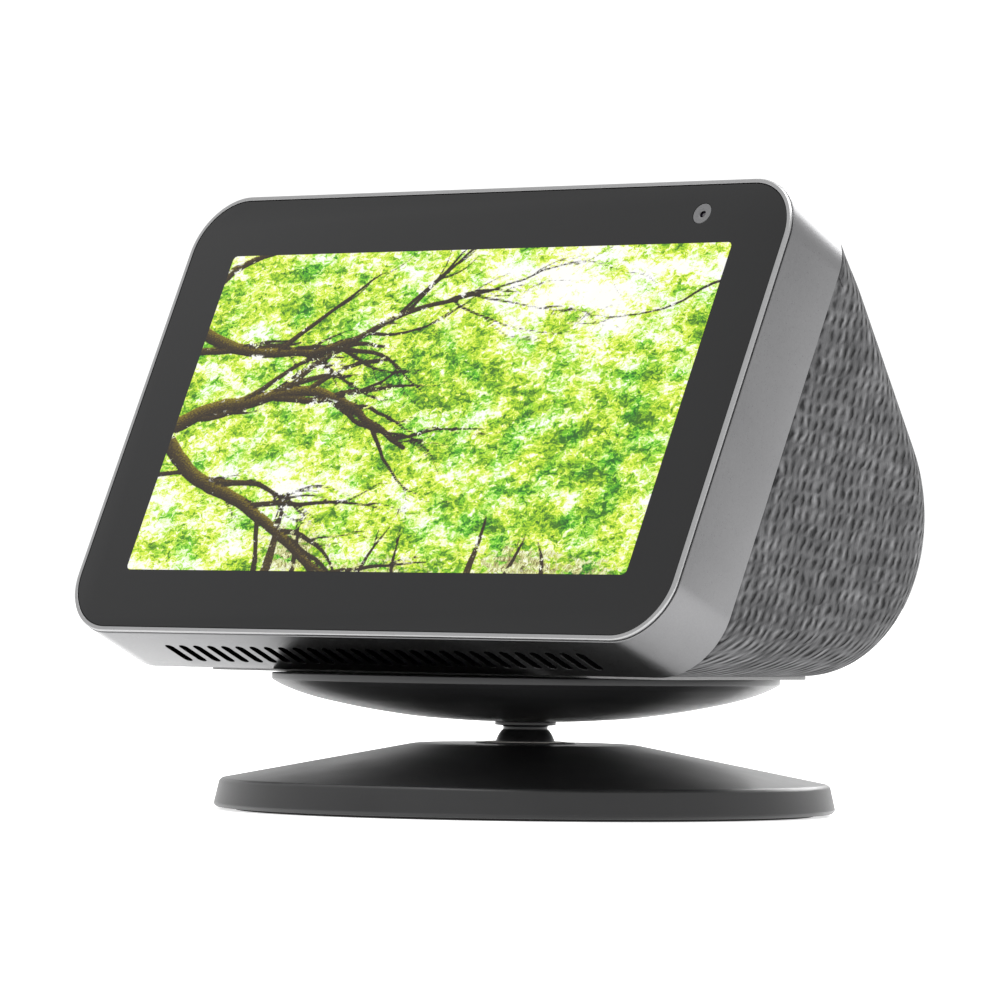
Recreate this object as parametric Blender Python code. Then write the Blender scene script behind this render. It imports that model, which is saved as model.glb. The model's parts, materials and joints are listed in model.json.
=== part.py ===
"""Small smart display with a fabric-covered wedge back, on a round tilt and swivel stand.

World frame: +X to the viewer's right, +Y away from the viewer, +Z up, origin at the centre of the
stand's underside. The dimensions below are in millimetres, and the meshes are in metres.
"""

import math

import bmesh
import bpy
from mathutils import Matrix

MM = 0.001

# Display: the face leans back, and its own frame has x across, y inward from the face, z up the face
FACE_LEAN = 24.86
SCREEN_CENTRE = (0.0, -28.66, 73.0)
FRAME_WIDTH = 148.0
FRAME_HEIGHT = 90.2
FRAME_RISE = 0.1
FRAME_RADIUS = 11.7
FRAME_TOP = FRAME_RISE + FRAME_HEIGHT / 2
FRAME_BOTTOM = FRAME_RISE - FRAME_HEIGHT / 2
FRAME_DEPTH = 15.6
FRAME_WALL = 1.7
LIP_WIDTH = 0.94
GLASS_INSET = 1.04
GLASS_FRONT = 0.05
GLASS_BACK = 1.3

# Vent slots in the underside of the front frame
SLOT_COUNT = 29
SLOT_PITCH = 3.62
SLOT_WIDTH = 1.95
SLOT_DEPTHS = (5.8, 12.7)

# Camera, its shutter and the buttons on the top band
CAMERA_X = 52.2
CAMERA_Z = 38.4
SHUTTER_TRAVEL = 6.0
SHUTTER_X = CAMERA_X - SHUTTER_TRAVEL - 0.4
SHUTTER_DEPTH = 5.5
BUTTON_DEPTH = 8.0
BUTTON_SIZE = (9.0, 3.6)
BUTTONS = {"mic_button": -14.0, "volume_down_button": 2.0, "volume_up_button": 18.0}
MIC_HOLES = (-30.0, 34.0)

# Back body: a slope from the frame's top edge that runs into a round belly, flat underneath. Its side
# edges start with the frame's corner radius, and tighten to their own over the blend length.
BODY_MARGIN = 0.2
BODY_HALF_WIDTH = FRAME_WIDTH / 2 - BODY_MARGIN
BODY_TOP = FRAME_TOP - BODY_MARGIN
BELLY_CENTRE = (2.0, 54.3)
BELLY_RADIUS = 28.3
BODY_FRONT = 15.9
EDGE_RADIUS = 9.3
EDGE_BLEND = 14.0
FABRIC_THICKNESS = 1.0
SHELL_INSET = 1.3
SHELL_WALL = 2.0

# Speaker, facing backward
SPEAKER_CENTRE = (0.0, 9.2, 53.0)

# Ports, on a flat panel low on the belly
PORT_ANGLE = -38.0
PORT_PANEL = (42.0, 11.0)
PORT_FACE = BELLY_RADIUS - 1.1
PORT_SPACING = 12.5
SOCKET_LENGTH = 7.7
SOCKET_FLOOR = 1.0

# Foot pad under the display
FOOT_SIZE = (114.0, 39.5)
FOOT_RADIUS = 3.0
FOOT_CENTRE_Y = -6.0
FOOT_LEVELS = (25.2, 25.9)

# Stand
TRAY_RADIUS = 46.5
TRAY_TOP = 25.1
TRAY_UNDERSIDE = ((1.8, 16.65), (10.0, 16.65), (20.0, 17.35), (30.0, 18.85), (38.0, 20.55), (42.0, 21.75),
                  (45.0, 23.0), (46.5, 23.9))
TRAY_WALL = 1.7
MAGNET_RING = 26.0
BALL_Z = 11.45
BALL_RADIUS = 5.64
SEAT_RADIUS = 5.8
BALL_TOP = 15.1
STEM_RADIUS = 4.1
FLANGE_RADIUS = 5.6
FLANGE_LEVELS = (15.9, 16.35)
BASE_RADIUS = 56.9
RIM_TOP = (55.9, 5.6)
PLATEAU = (20.0, 12.6)
BASE_WALL = 2.0
COLLAR_BORE = 9.4
SCREW_CIRCLE = 11.0
COVER_SCREW_CIRCLE = 30.0

# Sides of the turned pieces
WIDE_STEPS = 40
SMALL_STEPS = 16
SCREW_STEPS = 10


# --- building blocks --------------------------------------------------------------------------------

def clear_scene():
    for old in list(bpy.data.objects):
        bpy.data.objects.remove(old, do_unlink=True)


def make_empty(name, location=(0, 0, 0), tilt=0.0, parent=None):
    """An axis frame. tilt turns it about X, in degrees."""
    empty = bpy.data.objects.new(name, None)
    empty.location = [value * MM for value in location]
    empty.rotation_euler = (math.radians(tilt), 0, 0)
    empty.parent = parent
    bpy.context.scene.collection.objects.link(empty)
    return empty


def make_finish(name, color, roughness, metallic=0.0):
    finish = bpy.data.materials.new(name + "_finish")
    finish.use_nodes = True
    shader = finish.node_tree.nodes["Principled BSDF"]
    shader.inputs["Base Color"].default_value = (*color, 1.0)
    shader.inputs["Roughness"].default_value = roughness
    shader.inputs["Metallic"].default_value = metallic
    return finish


def add_object(name, bm, parent, finish=None, location=(0, 0, 0)):
    """Turns a bmesh in millimetres into a named object in metres."""
    bmesh.ops.recalc_face_normals(bm, faces=bm.faces)
    bmesh.ops.scale(bm, vec=(MM, MM, MM), verts=bm.verts)
    mesh = bpy.data.meshes.new(name)
    bm.to_mesh(mesh)
    bm.free()
    mesh.shade_smooth()
    mesh.set_sharp_from_angle(angle=math.radians(32))
    piece = bpy.data.objects.new(name, mesh)
    piece.location = [value * MM for value in location]
    piece.parent = parent
    if finish:
        mesh.materials.append(make_finish(name, *finish))
    bpy.context.scene.collection.objects.link(piece)
    return piece


def bridge(bm, lower, upper):
    """Faces between two rings of vertices. A ring of one vertex is a pole."""
    steps = max(len(lower), len(upper))
    for i in range(steps):
        j = (i + 1) % steps
        corners = (lower[i % len(lower)], lower[j % len(lower)], upper[j % len(upper)], upper[i % len(upper)])
        unique = list(dict.fromkeys(corners))
        if len(unique) > 2:
            bm.faces.new(unique)


def loft(bm, loops, closed=False):
    """Skins a run of equal loops of points. An open run gets flat ends."""
    rings = [[bm.verts.new(point) for point in loop] for loop in loops]
    for lower, upper in zip(rings, rings[1:]):
        bridge(bm, lower, upper)
    if closed:
        bridge(bm, rings[-1], rings[0])
        return
    for ring in (rings[0], rings[-1]):
        if len(ring) > 2:
            bm.faces.new(ring)


def circle(radius, height, steps, centre=(0.0, 0.0)):
    """A ring of points in a plane across Z, or one point on the axis."""
    if radius == 0:
        return [(centre[0], centre[1], height)]
    angles = [2 * math.pi * i / steps for i in range(steps)]
    return [(centre[0] + radius * math.cos(a), centre[1] + radius * math.sin(a), height) for a in angles]


def turned_bmesh(profile, steps, closed=False):
    """A solid turned about Z from (radius, height) points. closed joins the last point to the first."""
    bm = bmesh.new()
    loft(bm, [circle(radius, height, steps) for radius, height in profile], closed)
    return bm


def turned(name, profile, steps, parent, finish, closed=False, location=(0, 0, 0)):
    return add_object(name, turned_bmesh(profile, steps, closed), parent, finish, location)


def rounded_rect(width, height, radius, corner_steps, centre=(0.0, 0.0)):
    """Points round a rectangle with rounded corners, from its right side, counter-clockwise."""
    points = []
    for quadrant, (side_x, side_y) in enumerate(((1, 1), (-1, 1), (-1, -1), (1, -1))):
        corner_x = centre[0] + side_x * (width / 2 - radius)
        corner_y = centre[1] + side_y * (height / 2 - radius)
        for k in range(corner_steps + 1):
            angle = math.pi / 2 * (quadrant + k / max(corner_steps, 1))
            points.append((corner_x + radius * math.cos(angle), corner_y + radius * math.sin(angle)))
    return points


def across_y(outline, depth):
    return [(a, depth, b) for a, b in outline]


def across_z(outline, height):
    return [(a, b, height) for a, b in outline]


def prism(bm, outline, low, high, place=across_y):
    loft(bm, [place(outline, low), place(outline, high)])


def plate(name, outline, low, high, parent, finish, place=across_y):
    bm = bmesh.new()
    prism(bm, outline, low, high, place)
    return add_object(name, bm, parent, finish)


def block(name, size, centre, parent, finish, radius=0.0, corner_steps=0):
    """A block across the display, its outline seen from the front. size and centre are x, y, z."""
    outline = rounded_rect(size[0], size[2], radius, corner_steps, (centre[0], centre[2]))
    return plate(name, outline, centre[1] - size[1] / 2, centre[1] + size[1] / 2, parent, finish)


def boolean(target, cutter_bmesh, operation="DIFFERENCE"):
    """Cuts the target by, or joins it to, a hidden helper shape in the target's own frame."""
    helper = add_object(target.name + "_" + operation.lower(), cutter_bmesh, target.parent)
    helper.location = target.location
    helper.hide_render = True
    helper.display_type = "WIRE"
    modifier = target.modifiers.new(operation.lower(), "BOOLEAN")
    modifier.operation = operation
    modifier.object = helper
    return helper


def cylinder_cutter(centres, radius, low, high, steps, place_axis="Z"):
    """Round cutters side by side, along Z or along Y."""
    bm = bmesh.new()
    for centre in centres:
        rings = [circle(radius, level, steps, centre) for level in (low, high)]
        if place_axis == "Y":
            rings = [[(x, level, y) for x, y, level in ring] for ring in rings]
        loft(bm, rings)
    return bm


def on_circle(radius, count, first_angle=90.0):
    """Centres spread evenly round a circle."""
    angles = [math.radians(first_angle + 360.0 * i / count) for i in range(count)]
    return [(radius * math.cos(a), radius * math.sin(a)) for a in angles]


# --- finishes: colour, roughness, metallic ----------------------------------------------------------

DARK_GLASS = ((0.045, 0.047, 0.05), 0.12)
SATIN_GREY = ((0.25, 0.25, 0.26), 0.38)
DARK_PLASTIC = ((0.02, 0.02, 0.022), 0.42)
STAND_BLACK = ((0.018, 0.018, 0.019), 0.35)
LIGHT_GREY = ((0.42, 0.42, 0.42), 0.6)
FABRIC_GREY = ((0.12, 0.12, 0.125), 0.95)
BOARD_GREEN = ((0.02, 0.12, 0.06), 0.5)
STEEL = ((0.55, 0.55, 0.56), 0.3, 1.0)
DULL_STEEL = ((0.35, 0.35, 0.36), 0.5, 1.0)
ALUMINIUM = ((0.7, 0.7, 0.71), 0.35, 1.0)
RUBBER = ((0.03, 0.03, 0.03), 0.85)
NYLON = ((0.75, 0.73, 0.68), 0.5)
PAPER_CONE = ((0.05, 0.05, 0.052), 0.8)


# --- display ----------------------------------------------------------------------------------------

def frame_outline(inset, corner_steps=5):
    return rounded_rect(FRAME_WIDTH - 2 * inset, FRAME_HEIGHT - 2 * inset, FRAME_RADIUS - inset, corner_steps,
                        (0.0, FRAME_RISE))


def build_front_frame(face):
    """A ring with a lip round the glass, a shadow groove behind the lip and a ledge inside."""
    section = ((LIP_WIDTH, 0.0), (0.3, 0.0), (0.15, 0.15), (0.15, 0.4), (0.5, 0.5), (0.5, 1.0), (0.0, 1.1),
               (0.0, FRAME_DEPTH - 0.3), (0.3, FRAME_DEPTH), (FRAME_WALL, FRAME_DEPTH), (FRAME_WALL, 3.2),
               (3.0, 3.2), (3.0, 1.7), (LIP_WIDTH, 1.7))
    bm = bmesh.new()
    loft(bm, [across_y(frame_outline(inset), depth) for inset, depth in section], closed=True)
    frame = add_object("front_frame", bm, face, SATIN_GREY)

    cutters = bmesh.new()
    middle_depth = sum(SLOT_DEPTHS) / 2
    length = SLOT_DEPTHS[1] - SLOT_DEPTHS[0]
    for i in range(SLOT_COUNT):
        x = (i - (SLOT_COUNT - 1) / 2) * SLOT_PITCH
        slot = rounded_rect(SLOT_WIDTH, length, SLOT_WIDTH / 2 - 0.1, 1, (x, middle_depth))
        prism(cutters, slot, FRAME_BOTTOM - 1.0, FRAME_BOTTOM + FRAME_WALL + 1.0, across_z)
    through_top = (FRAME_TOP - FRAME_WALL - 1.0, FRAME_TOP + 1.0)
    for x in BUTTONS.values():
        hole = rounded_rect(BUTTON_SIZE[0] + 0.5, BUTTON_SIZE[1] + 0.5, 2.0, 3, (x, BUTTON_DEPTH))
        prism(cutters, hole, *through_top, across_z)
    slot_centre = (SHUTTER_X + SHUTTER_TRAVEL / 2, SHUTTER_DEPTH)
    prism(cutters, rounded_rect(4.6 + SHUTTER_TRAVEL, 2.4, 1.1, 3, slot_centre), *through_top, across_z)
    for x in MIC_HOLES:
        prism(cutters, rounded_rect(1.4, 1.4, 0.69, 2, (x, BUTTON_DEPTH)), *through_top, across_z)
    boolean(frame, cutters)


def build_screen(face):
    glass = plate("cover_glass", frame_outline(GLASS_INSET), GLASS_FRONT, GLASS_BACK, face, DARK_GLASS)
    boolean(glass, cylinder_cutter([(CAMERA_X, CAMERA_Z)], 2.2, -1.0, 2.5, SMALL_STEPS, "Y"))
    block("lcd_panel", (128.0, 2.4, 70.0), (0.0, 2.8, -0.4), face, ((0.6, 0.6, 0.6), 0.4), 1.0, 2)
    block("mid_tray", (139.0, 1.0, 73.0), (0.0, 4.9, -4.5), face, DULL_STEEL, 4.0, 3)
    spreader = block("heat_spreader", (96.0, 1.0, 54.0), (0.0, 6.2, -4.0), face, ALUMINIUM, 2.0, 2)
    board = block("main_board", (104.0, 1.2, 60.0), (0.0, 7.6, -4.0), face, BOARD_GREEN, 2.0, 2)
    corners = [(x, -4.0 + z) for x in (-44.0, 44.0) for z in (-23.0, 23.0)]
    for part in (spreader, board):
        boolean(part, cylinder_cutter(corners, 1.5, 5.0, 9.0, SCREW_STEPS, "Y"))
    for number, (x, z) in enumerate(corners, 1):
        profile = ((0.0, 10.0), (2.4, 10.0), (2.6, 9.6), (2.6, 8.5), (1.2, 8.5), (1.2, 5.7), (0.0, 5.7))
        bm = turned_bmesh(profile, SCREW_STEPS)
        bmesh.ops.rotate(bm, verts=bm.verts, cent=(0, 0, 0), matrix=turn_to_y())
        add_object(f"board_screw_{number}", bm, face, STEEL, (x, 0.0, z))
    block("processor_shield", (34.0, 2.2, 28.0), (-16.0, 9.6, -2.0), face, STEEL, 1.5, 2)
    block("radio_shield", (22.0, 1.8, 18.0), (20.0, 9.4, 4.0), face, STEEL, 1.5, 2)


def turn_to_y():
    """Turns a shape modelled about Z so that its axis runs along +Y."""
    return Matrix.Rotation(math.radians(-90), 3, "X")


def build_camera(face):
    trim = ((1.0, 0.5), (1.25, 0.15), (1.5, 0.05), (1.85, 0.05), (2.0, 0.2), (2.0, 1.2), (1.0, 1.2))
    bm = turned_bmesh(trim, SMALL_STEPS, closed=True)
    bmesh.ops.rotate(bm, verts=bm.verts, cent=(0, 0, 0), matrix=turn_to_y())
    add_object("camera_ring", bm, face, SATIN_GREY, (CAMERA_X, 0.0, CAMERA_Z))
    bm = turned_bmesh(((0.0, 0.45), (0.4, 0.5), (0.75, 0.65), (0.9, 0.85), (0.9, 1.2), (0.0, 1.2)), 16)
    bmesh.ops.rotate(bm, verts=bm.verts, cent=(0, 0, 0), matrix=turn_to_y())
    add_object("camera_lens", bm, face, DARK_GLASS, (CAMERA_X, 0.0, CAMERA_Z))
    centre = (CAMERA_X, 4.7, CAMERA_Z - 0.6)
    body = block("camera_module", (7.6, 3.4, 5.8), centre, face, DARK_PLASTIC, 0.6, 2)
    barrel = bmesh.new()
    loft(barrel, [[(x, y, z) for x, z, y in circle(2.3, level, 16, (CAMERA_X, CAMERA_Z))]
                  for level in (2.3, 4.0)])
    boolean(body, barrel, "UNION")


def build_shutter(face):
    """A slider on the top edge with an arm that carries a blade behind the glass, beside the lens."""
    slider = make_empty("shutter_axis", (SHUTTER_X, 0.0, CAMERA_Z), parent=face)
    top = FRAME_TOP - CAMERA_Z
    knob = plate("shutter_slider", rounded_rect(8.0, 3.4, 1.2, 3, (0.0, SHUTTER_DEPTH)), top + 0.2, top + 1.0,
                 slider, DARK_PLASTIC, across_z)
    stem = bmesh.new()
    prism(stem, rounded_rect(4.0, 1.8, 0.5, 2, (0.0, SHUTTER_DEPTH)), 3.0, top + 0.6, across_z)
    boolean(knob, stem, "UNION")
    arm = bmesh.new()
    prism(arm, rounded_rect(3.8, 4.9, 0.3, 1, (0.0, 3.95)), 2.6, 3.4, across_z)
    add_union(knob, arm, "arm")
    blade = bmesh.new()
    prism(blade, rounded_rect(5.6, 6.6, 0.8, 2, (0.0, -0.2)), 1.5, 1.9)
    add_union(knob, blade, "blade")


def add_union(target, helper_bmesh, label):
    helper = boolean(target, helper_bmesh, "UNION")
    helper.name = f"{target.name}_{label}"


def build_buttons(face):
    for name, x in BUTTONS.items():
        axis = make_empty(name + "_axis", (x, BUTTON_DEPTH, FRAME_TOP), parent=face)
        bm = bmesh.new()
        width, depth = BUTTON_SIZE
        cap = ((0.25, 0.5), (0.0, 0.3), (0.0, -2.0), (-0.9, -2.0), (-0.9, -2.6))
        loops = [across_z(rounded_rect(width - 2 * inset, depth - 2 * inset, 1.75 - inset, 3), level)
                 for inset, level in cap]
        loft(bm, loops)
        add_object(name, bm, axis, DARK_PLASTIC)
    block("button_board", (52.0, 5.4, 0.9), (2.0, 8.6, 41.0), face, BOARD_GREEN)


def belly_in_face():
    """The belly circle's centre as depth behind the face and rise up the face."""
    lean = math.radians(FACE_LEAN)
    y = BELLY_CENTRE[0] - SCREEN_CENTRE[1]
    z = BELLY_CENTRE[1] - SCREEN_CENTRE[2]
    return y * math.cos(lean) - z * math.sin(lean), y * math.sin(lean) + z * math.cos(lean)


def body_profile(inset):
    """Stations along the back body's side view, from its top front edge round to its bottom front edge.
    A station is its depth and rise, the angle of its outward normal, and its distance from the frame."""
    centre_depth, centre_rise = belly_in_face()
    run, drop = centre_depth - BODY_FRONT, centre_rise - BODY_TOP
    slope = math.atan2(drop, run) + math.asin(BELLY_RADIUS / math.hypot(run, drop))
    lean = math.radians(FACE_LEAN)
    top_angle, bottom_angle = math.pi / 2 + slope, lean - math.pi / 2

    def on_belly(angle):
        reach = BELLY_RADIUS - inset
        return centre_depth + reach * math.cos(angle), centre_rise + reach * math.sin(angle)

    def straight(angle, heading):
        """Stations on the straight stretch that meets the belly at angle, from the frame on."""
        depth, rise = on_belly(angle)
        length = (depth - BODY_FRONT) / math.cos(heading)
        distances = [EDGE_BLEND * k / 3 for k in range(4)]
        return [(BODY_FRONT + distance * math.cos(heading), rise - (length - distance) * math.sin(heading),
                 angle, distance) for distance in distances]

    turns = [top_angle + (bottom_angle - top_angle) * k / 8 for k in range(9)]
    belly = [(*on_belly(angle), angle, EDGE_BLEND) for angle in turns]
    return straight(top_angle, slope) + belly + list(reversed(straight(bottom_angle, lean)))


def body_solid(inset, reach=0.0):
    """The back body as a bmesh in the face's frame, drawn in by inset, and lengthened forward by reach.
    It is lofted across the display. Each loop towards a side is drawn further in, to round the edge."""
    edge_steps = 5
    loops = []
    for k in range(edge_steps + 1):
        turn = math.pi / 2 * (1 - k / edge_steps)
        loop = []
        for depth, rise, angle, distance in body_profile(inset):
            share = min(distance / EDGE_BLEND, 1.0)
            share = share * share * (3 - 2 * share)
            radius = FRAME_RADIUS - BODY_MARGIN + (EDGE_RADIUS - FRAME_RADIUS + BODY_MARGIN) * share - inset
            drawn_in = radius * (1 - math.cos(turn))
            upright = math.copysign(1.0 - share, math.sin(angle))
            loop.append((BODY_HALF_WIDTH - inset - radius * (1 - math.sin(turn)),
                         depth - drawn_in * math.cos(angle) * share,
                         rise - drawn_in * (math.sin(angle) * share + upright)))
        if reach:
            loop = [(loop[0][0], BODY_FRONT - reach, loop[0][2]), *loop,
                    (loop[-1][0], BODY_FRONT - reach, loop[-1][2])]
        loops.append(loop)
    loops += [[(-x, depth, rise) for x, depth, rise in loop] for loop in reversed(loops)]
    bm = bmesh.new()
    loft(bm, loops)
    return bm


def hollow_shell(name, inset, wall, face, finish):
    shell = add_object(name, body_solid(inset), face, finish)
    boolean(shell, body_solid(inset + wall, reach=3.0)).name = name + "_hollow"
    return shell


def build_back(face, ports):
    fabric = hollow_shell("fabric_cover", 0.0, FABRIC_THICKNESS, face, FABRIC_GREY)
    shell = hollow_shell("rear_shell", SHELL_INSET, SHELL_WALL, face, DARK_PLASTIC)
    for part in (fabric, shell):
        pocket = bmesh.new()
        outline = rounded_rect(PORT_PANEL[0] + 0.6, PORT_PANEL[1] + 0.6, 3.8, 4)
        prism(pocket, outline, PORT_FACE - 5.0, PORT_FACE + 7.0)
        helper = boolean(part, pocket)
        helper.parent = ports
    grille = bmesh.new()
    for i in range(7):
        prism(grille, rounded_rect(3.0, 20.0, 1.4, 2, ((i - 3) * 5.2, 62.0)), 12.0, 40.0)
    helper = boolean(shell, grille)
    helper.parent = None
    helper.name = "rear_shell_grille"


# --- speaker and ports ------------------------------------------------------------------------------

def build_speaker(parent):
    baffle = plate("speaker_baffle", rounded_rect(132.0, 40.0, 4.0, 2, (0.0, SPEAKER_CENTRE[2])),
                   SPEAKER_CENTRE[1] - 3.5, SPEAKER_CENTRE[1] - 1.5, parent, DARK_PLASTIC)
    hole = [(SPEAKER_CENTRE[0], SPEAKER_CENTRE[2])]
    boolean(baffle, cylinder_cutter(hole, 17.8, 0.0, 20.0, SMALL_STEPS, "Y"))
    axis = make_empty("speaker_axis", SPEAKER_CENTRE, -90.0, parent)
    basket = ((17.6, 0.0), (20.0, 0.0), (20.0, -1.2), (17.3, -1.2), (17.0, -1.7), (11.4, -11.5),
              (11.4, -12.3), (7.6, -12.3), (7.6, -11.4), (10.4, -11.2), (16.6, -1.2))
    turned("speaker_basket", basket, SMALL_STEPS, axis, DULL_STEEL, closed=True)
    magnet = ((0.0, -8.6), (5.0, -8.6), (5.0, -16.0), (6.9, -16.0), (6.9, -12.6), (12.0, -12.6),
              (12.0, -18.0), (0.0, -18.0))
    turned("speaker_magnet", magnet, SMALL_STEPS, axis, DULL_STEEL)
    cone = ((0.0, -6.0), (5.6, -7.4), (5.6, -14.0), (6.2, -14.0), (6.2, -7.6), (15.0, -1.2), (15.0, -0.6),
            (6.0, -6.6), (0.0, -5.4))
    turned("speaker_cone", cone, SMALL_STEPS, axis, PAPER_CONE)
    roll = [(16.15 + 0.9 * math.cos(a), -0.4 + 0.9 * math.sin(a)) for a in
            [math.radians(180 - 45 * k) for k in range(5)]]
    roll += [(16.15 + 0.5 * math.cos(a), -0.4 + 0.5 * math.sin(a)) for a in
             [math.radians(45 * k) for k in range(5)]]
    turned("speaker_surround", roll, SMALL_STEPS, axis, RUBBER, closed=True)


def build_ports(ports):
    outline = rounded_rect(*PORT_PANEL, 3.5, 4)
    panel = plate("port_panel", outline, PORT_FACE - 1.8, PORT_FACE, ports, DARK_PLASTIC)
    through = (PORT_FACE - 5.0, PORT_FACE + 5.0)
    holes = cylinder_cutter([(-PORT_SPACING, 0.0), (PORT_SPACING, 0.0)], 3.6, *through, 20, "Y")
    prism(holes, rounded_rect(9.4, 4.2, 1.2, 2), *through)
    boolean(panel, holes)
    back = PORT_FACE - SOCKET_LENGTH
    floor = back + SOCKET_FLOOR
    power = ((0.0, back), (3.3, back), (3.3, PORT_FACE), (2.15, PORT_FACE), (2.15, floor), (0.75, floor),
             (0.75, PORT_FACE - 1.6), (0.0, PORT_FACE - 1.2))
    audio = ((0.0, back), (3.3, back), (3.3, PORT_FACE), (1.8, PORT_FACE), (1.8, floor), (0.0, floor))
    for name, x, profile in (("power_socket", -PORT_SPACING, power), ("audio_socket", PORT_SPACING, audio)):
        bm = turned_bmesh(profile, 20)
        bmesh.ops.rotate(bm, verts=bm.verts, cent=(0, 0, 0), matrix=turn_to_y())
        add_object(name, bm, ports, STEEL if name == "audio_socket" else DARK_PLASTIC, (x, 0.0, 0.0))
    bm = bmesh.new()
    outer = rounded_rect(8.8, 3.6, 0.9, 2)
    inner = rounded_rect(8.0, 2.8, 0.6, 2)
    loft(bm, [across_y(inner, floor), across_y(inner, PORT_FACE), across_y(outer, PORT_FACE),
              across_y(outer, back)])
    add_object("service_socket", bm, ports, STEEL)
    block("port_board", (40.0, 1.1, 9.0), (0.0, back - 0.9, 0.0), ports, BOARD_GREEN)


# --- stand ------------------------------------------------------------------------------------------

def build_tray(spin):
    inner = [(radius - 0.4, height + TRAY_WALL) for radius, height in TRAY_UNDERSIDE[1:-2]]
    profile = list(TRAY_UNDERSIDE)
    profile += [(TRAY_RADIUS, TRAY_TOP - 0.2), (TRAY_RADIUS - 0.2, TRAY_TOP), (45.0, TRAY_TOP), (45.0, 24.2)]
    profile += list(reversed(inner)) + [(1.8, TRAY_UNDERSIDE[0][1] + TRAY_WALL)]
    turned("tray_bowl", profile, WIDE_STEPS, spin, STAND_BLACK, closed=True)
    lid = ((0.0, TRAY_TOP), (44.7, TRAY_TOP), (44.7, TRAY_TOP - 0.9), (0.0, TRAY_TOP - 0.9))
    turned("tray_lid", lid, WIDE_STEPS, spin, STAND_BLACK)
    for number, (x, y) in enumerate(on_circle(MAGNET_RING, 4, 45.0), 1):
        magnet = ((0.0, 23.9), (5.0, 23.9), (5.0, 21.4), (0.0, 21.4))
        turned(f"tray_magnet_{number}", magnet, 12, spin, STEEL, location=(x, y, 0.0))
    foot = rounded_rect(*FOOT_SIZE, FOOT_RADIUS, 5, (0.0, FOOT_CENTRE_Y))
    plate("foot_pad", foot, *FOOT_LEVELS, spin, LIGHT_GREY, across_z)


def sphere_profile(radius, centre, low, high, steps):
    """Points up a sphere's side between two heights."""
    first = math.asin(max(-1.0, min(1.0, (low - centre) / radius)))
    last = math.asin(max(-1.0, min(1.0, (high - centre) / radius)))
    angles = [first + (last - first) * k / steps for k in range(steps + 1)]
    return [(radius * math.cos(a), centre + radius * math.sin(a)) for a in angles]


def build_ball_joint(base, swivel, tilt):
    bottom = BALL_Z - BALL_RADIUS
    side = sphere_profile(BALL_RADIUS, BALL_Z, bottom, BALL_TOP, 8)[1:]
    low, high = FLANGE_LEVELS
    profile = [(0.0, bottom)] + side + [(STEM_RADIUS, BALL_TOP), (STEM_RADIUS, low), (FLANGE_RADIUS, low),
                                       (FLANGE_RADIUS, high), (1.7, high), (1.7, 10.0), (0.0, 10.0)]
    shift = -BALL_Z
    turned("ball_stem", [(r, z + shift) for r, z in profile], SMALL_STEPS, tilt, STAND_BLACK)
    screw = [(0.0, 10.5), (1.4, 10.5), (1.4, 19.2), (3.4, 19.2), (3.4, 20.6), (3.0, 21.0), (1.2, 21.0),
             (1.2, 20.0), (0.0, 20.0)]
    turned("pivot_screw", [(r, z + shift) for r, z in screw], 12, tilt, STEEL)
    washer = ((2.0, 18.55), (5.5, 18.55), (5.5, 19.0), (2.0, 19.0))
    turned("pivot_washer", [(r, z + shift) for r, z in washer], SMALL_STEPS, tilt, NYLON, closed=True)

    seat = [(4.15, 6.6), (8.6, 6.6), (8.6, 9.6), (7.4, 9.6), (7.4, 13.0)]
    seat += list(reversed(sphere_profile(SEAT_RADIUS, BALL_Z, 7.4, 13.0, 6)))
    turned("ball_seat", seat, SMALL_STEPS, swivel, NYLON, closed=True)
    build_wave_spring(base)


def build_wave_spring(base):
    """A flat spring washer with three waves, under the seat."""
    bm = bmesh.new()
    steps, middle, wave = 30, 5.8, 0.3
    angles = [2 * math.pi * i / steps for i in range(steps)]

    def ring(radius, offset):
        return [(radius * math.cos(a), radius * math.sin(a), middle + offset + wave * math.sin(3 * a))
                for a in angles]

    loft(bm, [ring(5.8, -0.15), ring(8.2, -0.15), ring(8.2, 0.15), ring(5.8, 0.15)], closed=True)
    add_object("wave_spring", bm, base, STEEL)


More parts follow.
